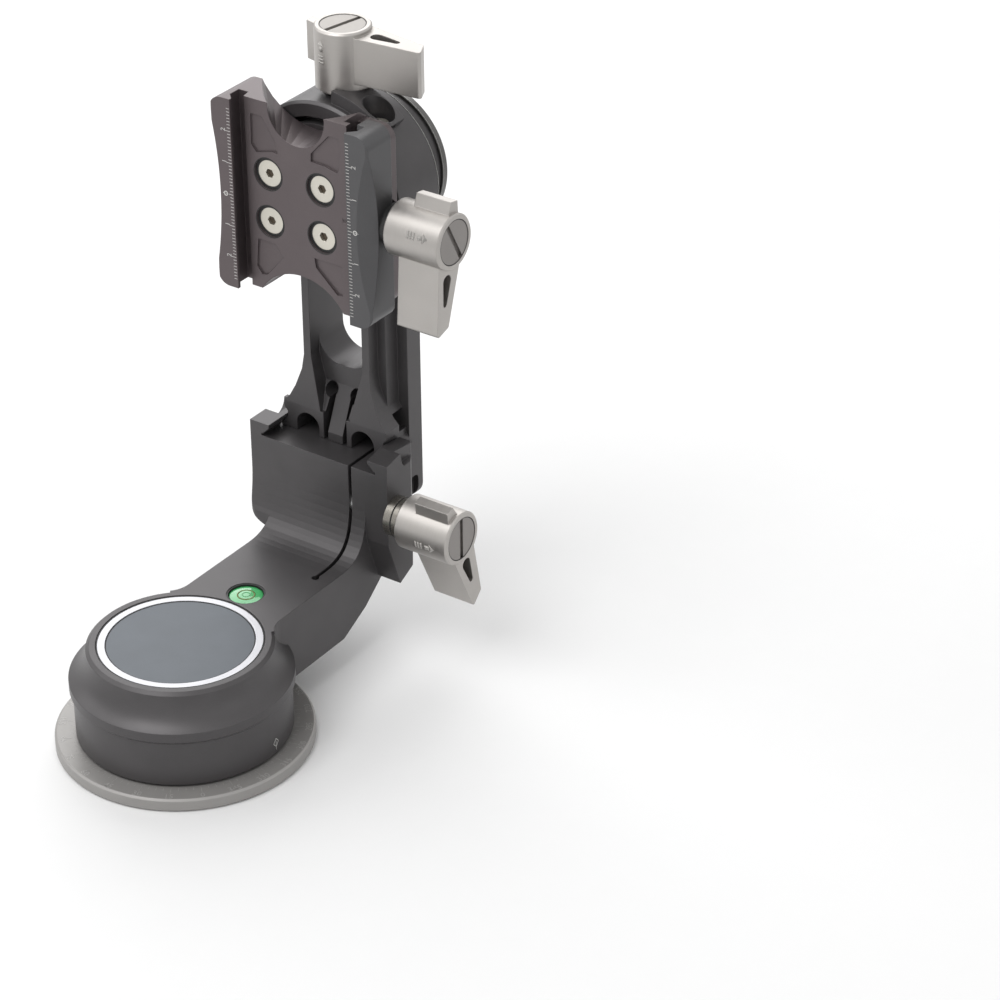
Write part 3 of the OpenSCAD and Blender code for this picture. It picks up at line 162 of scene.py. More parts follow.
class HeadFinishes(bpy.types.PropertyGroup):
    """Colours and gloss of the metal, plastic and liquid, and of the painted shade and painted highlights.
    """

    body: colour_value("Body", "Anodised arm, upright and hub", (0.080, 0.076, 0.078))
    plate: colour_value("Clamp plate", "Anodised clamp plate", (0.112, 0.093, 0.096))
    jaw: colour_value("Movable jaw", "Anodised movable jaw", (0.088, 0.087, 0.090))
    titanium: colour_value("Levers", "Brushed levers", (0.43, 0.41, 0.39))
    side_cap: colour_value("Lever caps", "Slotted caps on the two side levers", (0.26, 0.245, 0.235))
    washer: colour_value("Washers", "Washer and collar of the receiver lever", (0.26, 0.245, 0.22))
    disc: colour_value("Base disc", "Turned base disc", (0.33, 0.32, 0.31))
    dark_disc: colour_value("Tilt disc", "Turned disc behind the tilt head", (0.13, 0.127, 0.124))
    nickel: colour_value("Screws", "Nickel plated screws", (0.60, 0.575, 0.51))
    steel: colour_value("Steel", "Ground steel parts", (0.50, 0.50, 0.50))
    bronze: colour_value("Bronze", "Brake shoe inside the tilt head", (0.42, 0.28, 0.12))
    nylon: colour_value("Nylon", "Brake pad inside the drum", (0.78, 0.76, 0.70))
    bright: colour_value("Cap ring", "Bright turned ring", (0.47, 0.47, 0.49))
    cap: colour_value("Cap", "Matt cap disc", (0.105, 0.120, 0.138))
    mark: colour_value("Marks", "Engraved white marks", (0.66, 0.65, 0.63))
    faint: colour_value("Etched marks", "Etched marks on bare metal", (0.62, 0.60, 0.57))
    disc_mark: colour_value("Disc marks", "Engraved marks of the base disc", (0.46, 0.45, 0.44))
    liquid: colour_value("Level liquid", "Green liquid of the level", (0.05, 0.44, 0.13))
    level_ring: colour_value("Level ring", "Ring printed in the level", (0.30, 0.33, 0.12))
    bubble: colour_value("Bubble", "Rim of the level's bubble", (0.30, 0.78, 0.40))
    # Painted shade: the dark brown sheets deep in the screw sockets stand in for the shade in the holes
    painted_socket_shade: colour_value("Sockets", "Bottoms of the screw sockets", (0.075, 0.055, 0.035))
    # Painted highlight: the light bands on the drum's and the tilt disc's edges stand in for light the edges
    # catch
    painted_edge_highlight: colour_value("Bare edges", "Edges of the head drum and tilt disc", (0.48, 0.48, 0.46))
    # Both the real black parts and the painted shade in the narrow gaps and the screw wells
    black_and_painted_shade: colour_value("Black parts", "Level cup, lever neck and narrow gaps", (0.018, 0.018, 0.018))
    body_roughness: share_value("Body roughness", "Roughness of the anodising", 0.42)
    lever_roughness: share_value("Lever roughness", "Roughness of the brushed levers", 0.42)
    edge_round: length_value("Edge rounding", "Radius of the broken edges in the shading", 0.30)


class HeadMarks(bpy.types.PropertyGroup):
    """Sizes of the engraved scales and arrows."""

    mark_height: length_value("Mark height", "Height of the paint above the metal", 0.02)
    disc_tick_length: length_value("Disc tick", "Length of a short tick on the disc", 1.3)
    disc_long_tick: length_value("Disc long tick", "Length of a long tick on the disc", 2.6)
    disc_number_height: length_value("Disc numbers", "Height of the disc's numbers", 2.0)
    disc_zero_turn: angle_value("Disc zero", "Place of the disc's zero", -43.2)
    jaw_tick_length: length_value("Jaw tick", "Length of a millimetre tick", 1.05)
    jaw_long_tick: length_value("Jaw long tick", "Length of a centimetre tick", 1.9)
    jaw_number_height: length_value("Jaw numbers", "Height of the jaw's numbers", 1.6)
    jaw_number_place: length_value("Jaw number place", "Distance of a number from the ticks' start", 2.6)
    jaw_half_scale: bpy.props.IntProperty(name="Half scale", description="Millimetres each side of zero",
                                          default=27, min=10, max=28)
    arrow_length: length_value("Arrow", "Length of the bars and arrow on a lever", 6.6)


class HeadStage(bpy.types.PropertyGroup):
    """Floor, lamps and camera."""

    floor: colour_value("Floor", "Pale floor", (0.90, 0.90, 0.90))
    key_power: power_value("Key lamp", "Power in watts", 7.5)
    side_power: power_value("Side lamp", "Power in watts", 0.5)
    back_power: power_value("Back lamp", "Power in watts", 8.5)
    fill_power: power_value("Fill lamp", "Power in watts", 2.2)
    sky: power_value("Sky", "Strength of the even light", 0.5)
    lens: bpy.props.FloatProperty(name="Lens", description="Focal length in millimetres", default=124.215)
    azimuth: angle_value("Azimuth", "Camera azimuth", 34.802)
    pitch: angle_value("Pitch", "Camera angle below the horizon", 30.924)
    roll: angle_value("Roll", "Camera roll", -0.425)


# Materials: noise scales are in cells per metre

# The wide noise that varies a metal's tone, and the share of the angle that turned grain reads
WIDE_NOISE_SCALE = 90.0
TURNED_ANGLE_SHARE = 0.0006
# The part of a noise's range that colours and roughness run over, and how far roughness strays
NOISE_LOW, NOISE_HIGH = 0.3, 0.7
ROUGHNESS_STRAY = 0.05
GRAIN_BUMP = 0.35
# Share of metal in anodised and in brushed surfaces
ANODISED = 0.55
BRUSHED = 0.92
# Radius of the broken edges of small, moulded and painted pieces
THIN_EDGE = 0.2 * MM


def node_of(tree, kind, place, **settings):
    """Adds a shader node and sets its plain properties."""
    made = tree.nodes.new(kind)
    made.location = place
    for name, value in settings.items():
        setattr(made, name, value)
    return made


def empty_material(name):
    """A node material with a Principled shader and nothing else."""
    made = bpy.data.materials.new(name)
    made.use_nodes = True
    tree = made.node_tree
    tree.nodes.clear()
    out = node_of(tree, "ShaderNodeOutputMaterial", (900, 0))
    shader = node_of(tree, "ShaderNodeBsdfPrincipled", (600, 0))
    tree.links.new(shader.outputs["BSDF"], out.inputs["Surface"])
    return made, tree, shader


def local_points(tree, centre, turn):
    """Object coordinates moved to a piece's own centre and turned so that its axis is Z."""
    source = node_of(tree, "ShaderNodeTexCoord", (-1100, 0))
    moved = node_of(tree, "ShaderNodeMapping", (-920, 0), vector_type="TEXTURE")
    moved.inputs["Location"].default_value = centre
    moved.inputs["Rotation"].default_value = turn
    tree.links.new(source.outputs["Object"], moved.inputs["Vector"])
    return moved.outputs["Vector"]


def round_points(tree, points):
    """(radius, height, small share of the angle): noise read there runs in rings round the axis."""
    parts = node_of(tree, "ShaderNodeSeparateXYZ", (-740, 0))
    tree.links.new(points, parts.inputs["Vector"])
    flat = node_of(tree, "ShaderNodeCombineXYZ", (-740, -160))
    tree.links.new(parts.outputs["X"], flat.inputs["X"])
    tree.links.new(parts.outputs["Y"], flat.inputs["Y"])
    radius = node_of(tree, "ShaderNodeVectorMath", (-560, -80), operation="LENGTH")
    tree.links.new(flat.outputs["Vector"], radius.inputs[0])
    angle = node_of(tree, "ShaderNodeMath", (-560, -240), operation="ARCTAN2")
    tree.links.new(parts.outputs["Y"], angle.inputs[0])
    tree.links.new(parts.outputs["X"], angle.inputs[1])
    slow = node_of(tree, "ShaderNodeMath", (-400, -240), operation="MULTIPLY")
    tree.links.new(angle.outputs[0], slow.inputs[0])
    slow.inputs[1].default_value = TURNED_ANGLE_SHARE
    ringed = node_of(tree, "ShaderNodeCombineXYZ", (-240, -80))
    tree.links.new(radius.outputs["Value"], ringed.inputs["X"])
    tree.links.new(parts.outputs["Z"], ringed.inputs["Y"])
    tree.links.new(slow.outputs[0], ringed.inputs["Z"])
    return ringed.outputs["Vector"]


def noise_at(tree, points, scale, detail, place):
    """Noise of the given scale per metre."""
    noise = node_of(tree, "ShaderNodeTexNoise", place)
    noise.inputs["Scale"].default_value = scale
    noise.inputs["Detail"].default_value = detail
    tree.links.new(points, noise.inputs["Vector"])
    return noise.outputs["Fac"]


def mean_of(tree, first, second):
    """Half of one number and half of another."""
    half = node_of(tree, "ShaderNodeMath", (120, 220), operation="MULTIPLY")
    tree.links.new(second, half.inputs[0])
    half.inputs[1].default_value = 0.5
    mixed = node_of(tree, "ShaderNodeMath", (120, 60), operation="MULTIPLY_ADD")
    tree.links.new(first, mixed.inputs[0])
    mixed.inputs[1].default_value = 0.5
    tree.links.new(half.outputs[0], mixed.inputs[2])
    return mixed.outputs[0]


def colour_between(tree, factor, low, high, place):
    """A colour that runs from low to high with the factor's middle range."""
    ramp = node_of(tree, "ShaderNodeValToRGB", place)
    ramp.color_ramp.elements[0].position = NOISE_LOW
    ramp.color_ramp.elements[0].color = (*low, 1)
    ramp.color_ramp.elements[1].position = NOISE_HIGH
    ramp.color_ramp.elements[1].color = (*high, 1)
    tree.links.new(factor, ramp.inputs["Fac"])
    return ramp.outputs["Color"]


def spread_value(tree, factor, low, high, place):
    """A number that runs from low to high with the factor's middle range."""
    spread = node_of(tree, "ShaderNodeMapRange", place)
    spread.inputs["From Min"].default_value = NOISE_LOW
    spread.inputs["From Max"].default_value = NOISE_HIGH
    spread.inputs["To Min"].default_value = low
    spread.inputs["To Max"].default_value = high
    tree.links.new(factor, spread.inputs["Value"])
    return spread.outputs["Result"]


def scaled(rgb, share):
    """A colour made lighter or darker, kept at most 1."""
    return tuple(min(1.0, c * share) for c in rgb)


def metal_material(name, rgb, metallic, roughness, grain="blast", grain_scale=3500.0,
                   grain_depth=10 * MICRON, tone=0.06, centre=(0, 0, 0), turn=(0, 0, 0), edge=0.3 * MM):
    """Worked metal. The grain is blasted (even noise) or turned (rings round the axis); a wide soft noise
    varies the tone, and edges are broken."""
    made, tree, shader = empty_material(name)
    points = local_points(tree, centre, turn)
    grain_points = round_points(tree, points) if grain == "turned" else points
    fine = noise_at(tree, grain_points, grain_scale, 3.0, (-60, -200))
    wide = noise_at(tree, points, WIDE_NOISE_SCALE, 2.0, (-60, 200))
    colour = colour_between(tree, mean_of(tree, fine, wide), scaled(rgb, 1 - tone), scaled(rgb, 1 + tone),
                            (300, 200))
    tree.links.new(colour, shader.inputs["Base Color"])
    gloss = spread_value(tree, fine, roughness - ROUGHNESS_STRAY, roughness + ROUGHNESS_STRAY, (300, -60))
    tree.links.new(gloss, shader.inputs["Roughness"])
    rounded = node_of(tree, "ShaderNodeBevel", (120, -400), samples=4)
    rounded.inputs["Radius"].default_value = edge
    bump = node_of(tree, "ShaderNodeBump", (300, -300))
    bump.inputs["Strength"].default_value = GRAIN_BUMP
    bump.inputs["Distance"].default_value = grain_depth
    tree.links.new(fine, bump.inputs["Height"])
    tree.links.new(rounded.outputs["Normal"], bump.inputs["Normal"])
    tree.links.new(bump.outputs["Normal"], shader.inputs["Normal"])
    shader.inputs["Metallic"].default_value = metallic
    return made


def plain_material(name, rgb, roughness, grain_scale=4000.0, grain_depth=6 * MICRON, tone=0.05,
                   edge=THIN_EDGE):
    """Moulded or painted surface with a fine grain."""
    return metal_material(name, rgb, 0.0, roughness, grain_scale=grain_scale, grain_depth=grain_depth,
                          tone=tone, edge=edge)


# Surfaces


def sheet_mesh(name, points, faces, material, body, thickness=0.0, smooth=True):
    """A mesh from points and faces, given a wall by Solidify and carried by a body."""
    data = bpy.data.meshes.new(name)
    data.from_pydata(points.tolist(), [], faces)
    data.update()
    made = bpy.data.objects.new(name, data)
    bpy.context.scene.collection.objects.link(made)
    data.materials.append(material)
    data.polygons.foreach_set("use_smooth", [smooth] * len(data.polygons))
    if thickness:
        wall = made.modifiers.new("wall", "SOLIDIFY")
        wall.thickness = thickness
        wall.offset = -1.0
    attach(made, body)
    return made


def grid_faces(rows, columns, wrap_rows=False, wrap_columns=False):
    """Quads of a grid of points counted row by row, closed round where asked."""
    i = np.arange(rows if wrap_rows else rows - 1)[:, None]
    j = np.arange(columns if wrap_columns else columns - 1)[None, :]
    a = i * columns + j
    b = i * columns + (j + 1) % columns
    c = ((i + 1) % rows) * columns + (j + 1) % columns
    d = ((i + 1) % rows) * columns + j
    return np.stack([a, b, c, d], -1).reshape(-1, 4)


def stroke(start, end, half_start, half_end, steps=2):
    """A flat stroke. P(u, v) = start + u (end - start) + v w(u) n, where n is the direction across and
    w runs evenly from the half width at the start to that at the end; u in 0..1, v in -1..1."""
    start, end = np.array(start, float), np.array(end, float)
    u = np.linspace(0, 1, steps)[:, None, None]
    v = np.array([-1.0, 1.0])[None, :, None]
    along = (end - start) / np.linalg.norm(end - start)
    across = np.array([-along[1], along[0]])
    points = start + u * (end - start) + v * (half_start + u * (half_end - half_start)) * across
    return points.reshape(-1, 2), grid_faces(steps, 2)[:, ::-1]


def flat_ring(centre, radius, half_width, steps=32):
    """A flat ring. P(u, v) = centre + (radius + v w) (cos 2 pi u, sin 2 pi u), v in -1..1."""
    u = np.linspace(0, 2 * math.pi, steps, endpoint=False)[:, None]
    v = np.array([-1.0, 1.0])[None, :]
    radii = radius + v * half_width
    points = np.stack([radii * np.cos(u), radii * np.sin(u)], -1) + np.array(centre)
    return points.reshape(-1, 2), grid_faces(steps, 2, wrap_rows=True)[:, ::-1]


def round_band(place, half_width, radius, steps=48):
    """A strip round a barrel. P(u, v) = (place - v w, 2 pi R u), closed on itself as u runs over 0..1;
    v in -1..1."""
    u = np.linspace(0, 2 * math.pi * radius, steps, endpoint=False)[:, None]
    v = np.array([-1.0, 1.0])[None, :]
    points = np.stack([place - v * half_width + 0 * u, u + 0 * v], -1)
    return points.reshape(-1, 2), grid_faces(steps, 2, wrap_rows=True)[:, ::-1]


def written(text, height, centre, turn):
    """Flat outlines of a number, its middle at centre, turned by an angle and made mesh."""
    digit_share = 0.7
    curve = bpy.data.curves.new("number", "FONT")
    curve.body = text
    curve.size = height / digit_share
    curve.resolution_u = 2
    holder = bpy.data.objects.new("number", curve)
    bpy.context.scene.collection.objects.link(holder)
    bpy.context.view_layer.update()
    data = bpy.data.meshes.new_from_object(holder.evaluated_get(bpy.context.evaluated_depsgraph_get()))
    points = np.zeros(len(data.vertices) * 3)
    data.vertices.foreach_get("co", points)
    points = points.reshape(-1, 3)[:, :2]
    faces = [list(p.vertices) for p in data.polygons]
    bpy.data.objects.remove(holder)
    bpy.data.curves.remove(curve)
    bpy.data.meshes.remove(data)
    points = points - (points.min(0) + points.max(0)) / 2
    c, s = math.cos(turn), math.sin(turn)
    return points @ np.array([[c, s], [-s, c]]) + np.array(centre), faces


def joined(parts):
    """Several (points, faces) put into one, with the faces counted on."""
    points, faces, count = [], [], 0
    for part_points, part_faces in parts:
        points.append(part_points)
        faces.extend([[int(k) + count for k in face] for face in part_faces])
        count += len(part_points)
    return np.concatenate(points), faces


def flat_surface(origin, right, up):
    """S(x, y) = origin + x right + y up."""
    origin, right, up = (np.array(v, float) for v in (origin, right, up))
    return lambda p: origin + p[:, :1] * right + p[:, 1:] * up


def facing_front(y):
    """S(x, z) = (x, y, z), a plane that faces the front."""
    return flat_surface((0, y, 0), (1, 0, 0), (0, 0, 1))


def facing_up(z):
    """S(x, y) = (x, y, z), a level plane."""
    return flat_surface((0, 0, z), (1, 0, 0), (0, 1, 0))


def barrel_surface(centre, axis, out, radius):
    """S(x, y) = centre + x axis + radius (cos a out + sin a side), where a = y / radius."""
    centre, axis, out = (np.array(v, float) for v in (centre, axis, out))
    side = np.cross(axis, out)
    return lambda p: (centre + p[:, :1] * axis + radius * (np.cos(p[:, 1:] / radius) * out
                                                           + np.sin(p[:, 1:] / radius) * side))


def window_surface(centre, radius, rise, rim_z, lift):
    """S(x, y) = centre + (x, y, rim + rise (1 - (x x + y y) / R R) + lift), laid on a dome."""
    return lambda p: centre + np.column_stack([p, rim_z + rise * (1 - (p ** 2).sum(1) / radius ** 2) + lift])


def dome(radius, rise, rim_z, foot_z, rings=10, steps=40):
    """A closed lens. P(u, v) = (R u cos t, R u sin t, rim + rise (1 - u u)), t = 2 pi v, over a cone that
    runs down from the rim to the foot; u in 0..1 in even steps and v in 0..1."""
    u = np.linspace(0, 1, rings + 1)[1:][:, None]
    t = np.linspace(0, 2 * math.pi, steps, endpoint=False)[None, :]
    top = np.stack([radius * u * np.cos(t), radius * u * np.sin(t), rim_z + rise * (1 - u * u) + 0 * t], -1)
    points = np.concatenate([[[0, 0, rim_z + rise]], top.reshape(-1, 3), [[0, 0, foot_z]]])
    faces = (grid_faces(rings, steps, wrap_columns=True) + 1)[:, ::-1].tolist()
    k = np.arange(steps)
    n = (k + 1) % steps
    faces += np.stack([0 * k, k + 1, n + 1], -1).tolist()
    last = (rings - 1) * steps + 1
    faces += np.stack([0 * k + rings * steps + 1, last + n, last + k], -1).tolist()
    return points, faces


def coil(start, end, mid_radius, wire_radius, turns, around=28, sides=12):
    """A wire carried along a coil. C(s) = (x, m cos 2 pi n s, m sin 2 pi n s), and the wire's ring at s is
    C + w (cos a N + sin a B) with N pointing out from the axis; flat ends close it."""
    s = np.linspace(0, 1, int(turns * around) + 1)
    t = 2 * math.pi * turns * s
    centre = np.stack([start + (end - start) * s, mid_radius * np.cos(t), mid_radius * np.sin(t)], -1)
    out = np.stack([0 * t, np.cos(t), np.sin(t)], -1)
    speed = np.gradient(centre, axis=0)
    ahead = speed / np.linalg.norm(speed, axis=1)[:, None]
    side = np.cross(ahead, out)
    a = np.linspace(0, 2 * math.pi, sides, endpoint=False)
    points = (centre[:, None] + wire_radius * (np.cos(a)[None, :, None] * out[:, None]
                                               + np.sin(a)[None, :, None] * side[:, None]))
    rows = len(s)
    faces = grid_faces(rows, sides, wrap_columns=True).tolist()
    faces.append(list(range(sides))[::-1])
    faces.append([(rows - 1) * sides + k for k in range(sides)])
    return points.reshape(-1, 3), faces


# Operators


class HEAD_OT_metal_finishes(bpy.types.Operator):
    """Give every solid its worked metal, paint or plastic"""

    bl_idname = "head.metal_finishes"
    bl_label = "Metal finishes"

    def execute(self, context):
        f = context.scene.head_finishes
        edge = f.edge_round
        clamp_roughness = f.body_roughness - 0.03
        hub_share, top_cap_share = 0.85, 0.78
        turned = {"grain": "turned", "grain_scale": 5200.0}
        small = {"grain_scale": 3600.0, "grain_depth": 4 * MICRON, "tone": 0.05, "edge": THIN_EDGE}
        round_tilt_axis = {"centre": (0, 0, TILT_Z), "turn": Y_AXIS_TURN}

        body = metal_material("anodised_body", tuple(f.body), ANODISED, f.body_roughness, tone=0.10,
                              edge=edge)
        plate = metal_material("anodised_plate", tuple(f.plate), ANODISED, clamp_roughness, tone=0.08,
                               edge=edge)
        jaw = metal_material("anodised_jaw", tuple(f.jaw), ANODISED, clamp_roughness, tone=0.08, edge=edge)
        hub_metal = metal_material("anodised_hub", scaled(f.body, hub_share), ANODISED, 0.36,
                                   grain="turned", grain_scale=4200.0, grain_depth=6 * MICRON, tone=0.08,
                                   edge=edge, **round_tilt_axis)
        disc = metal_material("turned_disc", tuple(f.disc), 0.35, 0.45, grain_depth=3 * MICRON, tone=0.05,
                              edge=edge, **turned)
        ring = metal_material("bright_ring", tuple(f.bright), 1.0, 0.45, grain_depth=3 * MICRON, tone=0.03,
                              **turned)
        tilt_disc = metal_material("turned_tilt_disc", tuple(f.dark_disc), 0.95, 0.34,
                                   grain_depth=5 * MICRON, tone=0.05, **turned, **round_tilt_axis)
        steel = metal_material("ground_steel", tuple(f.steel), 1.0, 0.35, grain_scale=3000.0,
                               grain_depth=4 * MICRON)
        spindle = metal_material("turned_steel", tuple(f.steel), 1.0, 0.32, grain="turned",
                                 grain_scale=4200.0, grain_depth=5 * MICRON)
        nickel = metal_material("nickel_plate", tuple(f.nickel), 0.85, 0.34, grain_scale=2600.0,
                                grain_depth=3 * MICRON, tone=0.05, edge=THIN_EDGE)
        washer = metal_material("washer", tuple(f.washer), 0.95, 0.30, grain_scale=2600.0,
                                grain_depth=3 * MICRON, edge=THIN_EDGE)
        bronze = metal_material("bronze", tuple(f.bronze), 1.0, 0.4)
        top_cap = metal_material("top_cap", scaled(f.titanium, top_cap_share), BRUSHED, 0.55, **small)
        side_cap = metal_material("turned_cap", tuple(f.side_cap), BRUSHED, f.lever_roughness, **small)
        cap = plain_material("cap_film", tuple(f.cap), 0.50, grain_scale=2600.0, tone=0.10)
        black = plain_material("black_parts", tuple(f.black_and_painted_shade), 0.5)
        nylon = plain_material("nylon", tuple(f.nylon), 0.45)
        finishes = {
            "base_disc": disc, "thread_bush": spindle, "pan_spindle": spindle, "disc_screws": nickel,
            "race_spacer": spindle, "spindle_nut": spindle, "swing_arm": body, "cap_ring": ring,
            "cap_disc": cap, "level_cup": black, "pan_lock_pad": nylon, "receiver_washer": washer,
            "pan_lock_screw": steel, "receiver_stud": steel, "receiver_collar": washer,
            "vertical_arm": body, "tilt_brake_shoe": bronze, "bearing_screw": nickel,
            "tilt_lever_neck": black, "tilt_stud": steel, "tilt_hub": hub_metal, "tilt_collar": hub_metal,
            "tilt_disc": tilt_disc, "tilt_disc_screws": nickel, "clamp_body": plate,
            "clamp_screws": nickel, "jaw_guide_pins": steel, "jaw_springs": steel, "movable_jaw": jaw,
            "lens_washer": black, "lens_stud": steel, "level_vial": black,
            "lens_lever_cap": side_cap, "receiver_lever_cap": side_cap, "tilt_lever_cap": top_cap,
        }
        levers = {
            "receiver_lever": (RECEIVER_AXIS, X_AXIS_TURN), "lens_lever": (LENS_AXIS, X_AXIS_TURN),
            "tilt_lever": (TILT_LEVER_AXIS, (0, 0, 0)), "pan_knob": (KNOB_AXIS, KNOB_TURN),
        }
        for name, (centre, turn) in levers.items():
            finishes[name] = metal_material(f"brushed_{name}", tuple(f.titanium), BRUSHED,
                                            f.lever_roughness, grain="turned", grain_scale=3600.0,
                                            grain_depth=8 * MICRON, centre=centre, turn=turn,
                                            edge=0.35 * MM)
        for name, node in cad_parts.items():
            material = finishes.get(name, steel)
            if not node.material_slots:
                node.data.materials.append(material)
            for place in node.material_slots:
                place.material = material
        return {"FINISHED"}


class HEAD_OT_disc_scale(bpy.types.Operator):
    """Engrave the degree scale on the base disc: ticks by the drum and numbers outside them"""

    bl_idname = "head.disc_scale"
    bl_label = "Disc scale"

    def execute(self, context):
        m, f = context.scene.head_marks, context.scene.head_finishes
        paint = metal_material("disc_marks", tuple(f.disc_mark), 0.35, 0.5, grain_scale=6000.0,
                               grain_depth=2 * MICRON, tone=0.04)
        ticks_per_number, number_step = 4, 15
        numbers = 360 // number_step
        ticks = numbers * ticks_per_number
        start = DRUM_R + 0.4 * MM
        number_r = DISC_R - 1.9 * MM
        half_line = 0.07 * MM
        parts = []
        for k in range(ticks):
            turn = m.disc_zero_turn - math.radians(360 / ticks) * k
            length = m.disc_tick_length if k % ticks_per_number else m.disc_long_tick
            along = np.array([math.cos(turn), math.sin(turn)])
            parts.append(stroke(along * start, along * (start + length), half_line, half_line))
        for k in range(numbers):
            turn = m.disc_zero_turn - math.radians(number_step) * k
            centre = np.array([math.cos(turn), math.sin(turn)]) * number_r
            parts.append(written(str(number_step * k), m.disc_number_height, centre, turn + math.pi / 2))
        points, faces = joined(parts)
        placed = facing_up(DISC_TOP + m.mark_height)(points)
        sheet_mesh("disc_scale", placed, faces, paint, "base", MARK_WALL, False)
        return {"FINISHED"}


class HEAD_OT_jaw_scales(bpy.types.Operator):
    """Engrave the millimetre scales and their numbers on both jaws"""

    bl_idname = "head.jaw_scales"
    bl_label = "Jaw scales"

    def execute(self, context):
        m, f = context.scene.head_marks, context.scene.head_finishes
        paint = plain_material("white_marks", tuple(f.mark), 0.55)
        half_line, tick_inset, number_lift = 0.09 * MM, 0.25 * MM, 0.2 * MM
        zero_r, zero_half, zero_reach, zero_line = 0.62 * MM, 0.15 * MM, 1.1 * MM, 0.08 * MM
        moving_jaw_edge_x = JAW_LOW.x + 0.4 * MM
        jaws = (("fixed_jaw_scale", FIXED_JAW_EDGE_X, -1, "rotor"),
                ("moving_jaw_scale", moving_jaw_edge_x, 1, "jaw"))
        for name, edge_x, side, body in jaws:
            x = edge_x + side * tick_inset
            number_x = x + side * m.jaw_number_place
            parts = []
            for k in range(-m.jaw_half_scale, m.jaw_half_scale + 1):
                length = m.jaw_tick_length if k % 10 else m.jaw_long_tick
                z = TILT_Z + k * MM
                parts.append(stroke((x, z), (x + side * length, z), half_line, half_line))
                if k % 10 == 0 and k:
                    parts.append(written(str(abs(k) // 10), m.jaw_number_height,
                                         (number_x, z + number_lift), math.pi / 2))
            parts.append(flat_ring((number_x, TILT_Z), zero_r, zero_half))
            parts.append(stroke((number_x - zero_reach, TILT_Z), (number_x + zero_reach, TILT_Z),
                                zero_line, zero_line))
            points, faces = joined(parts)
            placed = facing_front(CLAMP_FACE_Y - m.mark_height)(points)
            sheet_mesh(name, placed, faces, paint, body, MARK_WALL, False)
        return {"FINISHED"}


class HEAD_OT_drum_index(bpy.types.Operator):
    """Engrave the small diamond and line on the drum that reads the degree scale"""

    bl_idname = "head.drum_index"
    bl_label = "Drum index"

    def execute(self, context):
        m, f = context.scene.head_marks, context.scene.head_finishes
        paint = plain_material("index_mark", tuple(f.mark), 0.55)
        turn = math.radians(4.4)
        middle_z, half_high, half_wide = 8.6 * MM, 1.4 * MM, 1.25 * MM
        side_line, middle_line = 0.11 * MM, 0.10 * MM
        line_low_z, line_high_z = 6.2 * MM, 9.1 * MM
        corners = [(middle_z + half_high, 0.0), (middle_z, half_wide), (middle_z - half_high, 0.0),
                   (middle_z, -half_wide)]
        parts = [stroke(a, b, side_line, side_line, 4) for a, b in zip(corners, corners[1:] + corners[:1])]
        parts.append(stroke((line_low_z, 0), (line_high_z, 0), middle_line, middle_line, 3))
        points, faces = joined(parts)
        surface = barrel_surface((0, 0, 0), (0, 0, 1), (math.cos(turn), math.sin(turn), 0),
                                 DRUM_R + m.mark_height)
        sheet_mesh("drum_index", surface(points), faces, paint, "pan", INDEX_WALL)
        return {"FINISHED"}


class HEAD_OT_lever_marks(bpy.types.Operator):
    """Etch the turning direction on each lever's barrel: three bars and an arrow"""

    bl_idname = "head.lever_marks"
    bl_label = "Lever marks"

    def execute(self, context):
        m, f = context.scene.head_marks, context.scene.head_finishes
        paint = metal_material("lever_etch", tuple(f.faint), 0.2, 0.55, grain_scale=6000.0,
                               grain_depth=2 * MICRON, tone=0.04)
        size = m.arrow_length
        bar_step, bar_reach, bar_half = 0.15 * size, 1.1 * MM, 0.3 * MM
        shaft_end, shaft_half = 0.25 * size, 0.75 * MM
        point_half, tip_half = 1.5 * MM, 0.03 * MM
        bars = [-size / 2 + k * bar_step for k in range(3)]
        parts = [stroke((x, -bar_reach), (x, bar_reach), bar_half, bar_half, 5) for x in bars]
        parts.append(stroke((0.0, 0.0), (shaft_end, 0.0), shaft_half, shaft_half, 3))
        parts.append(stroke((shaft_end, 0.0), (size / 2, 0.0), point_half, tip_half, 6))
        points, faces = joined(parts)
        for name, (centre, axis, degrees, body) in LEVER_MARKS.items():
            a = math.radians(degrees)
            out = (0, math.cos(a), math.sin(a)) if axis[0] else (math.cos(a), math.sin(a), 0)
            surface = barrel_surface(centre, axis, out, BARREL_R + m.mark_height)
            sheet_mesh(name, surface(points), faces, paint, body, MARK_WALL)
        return {"FINISHED"}


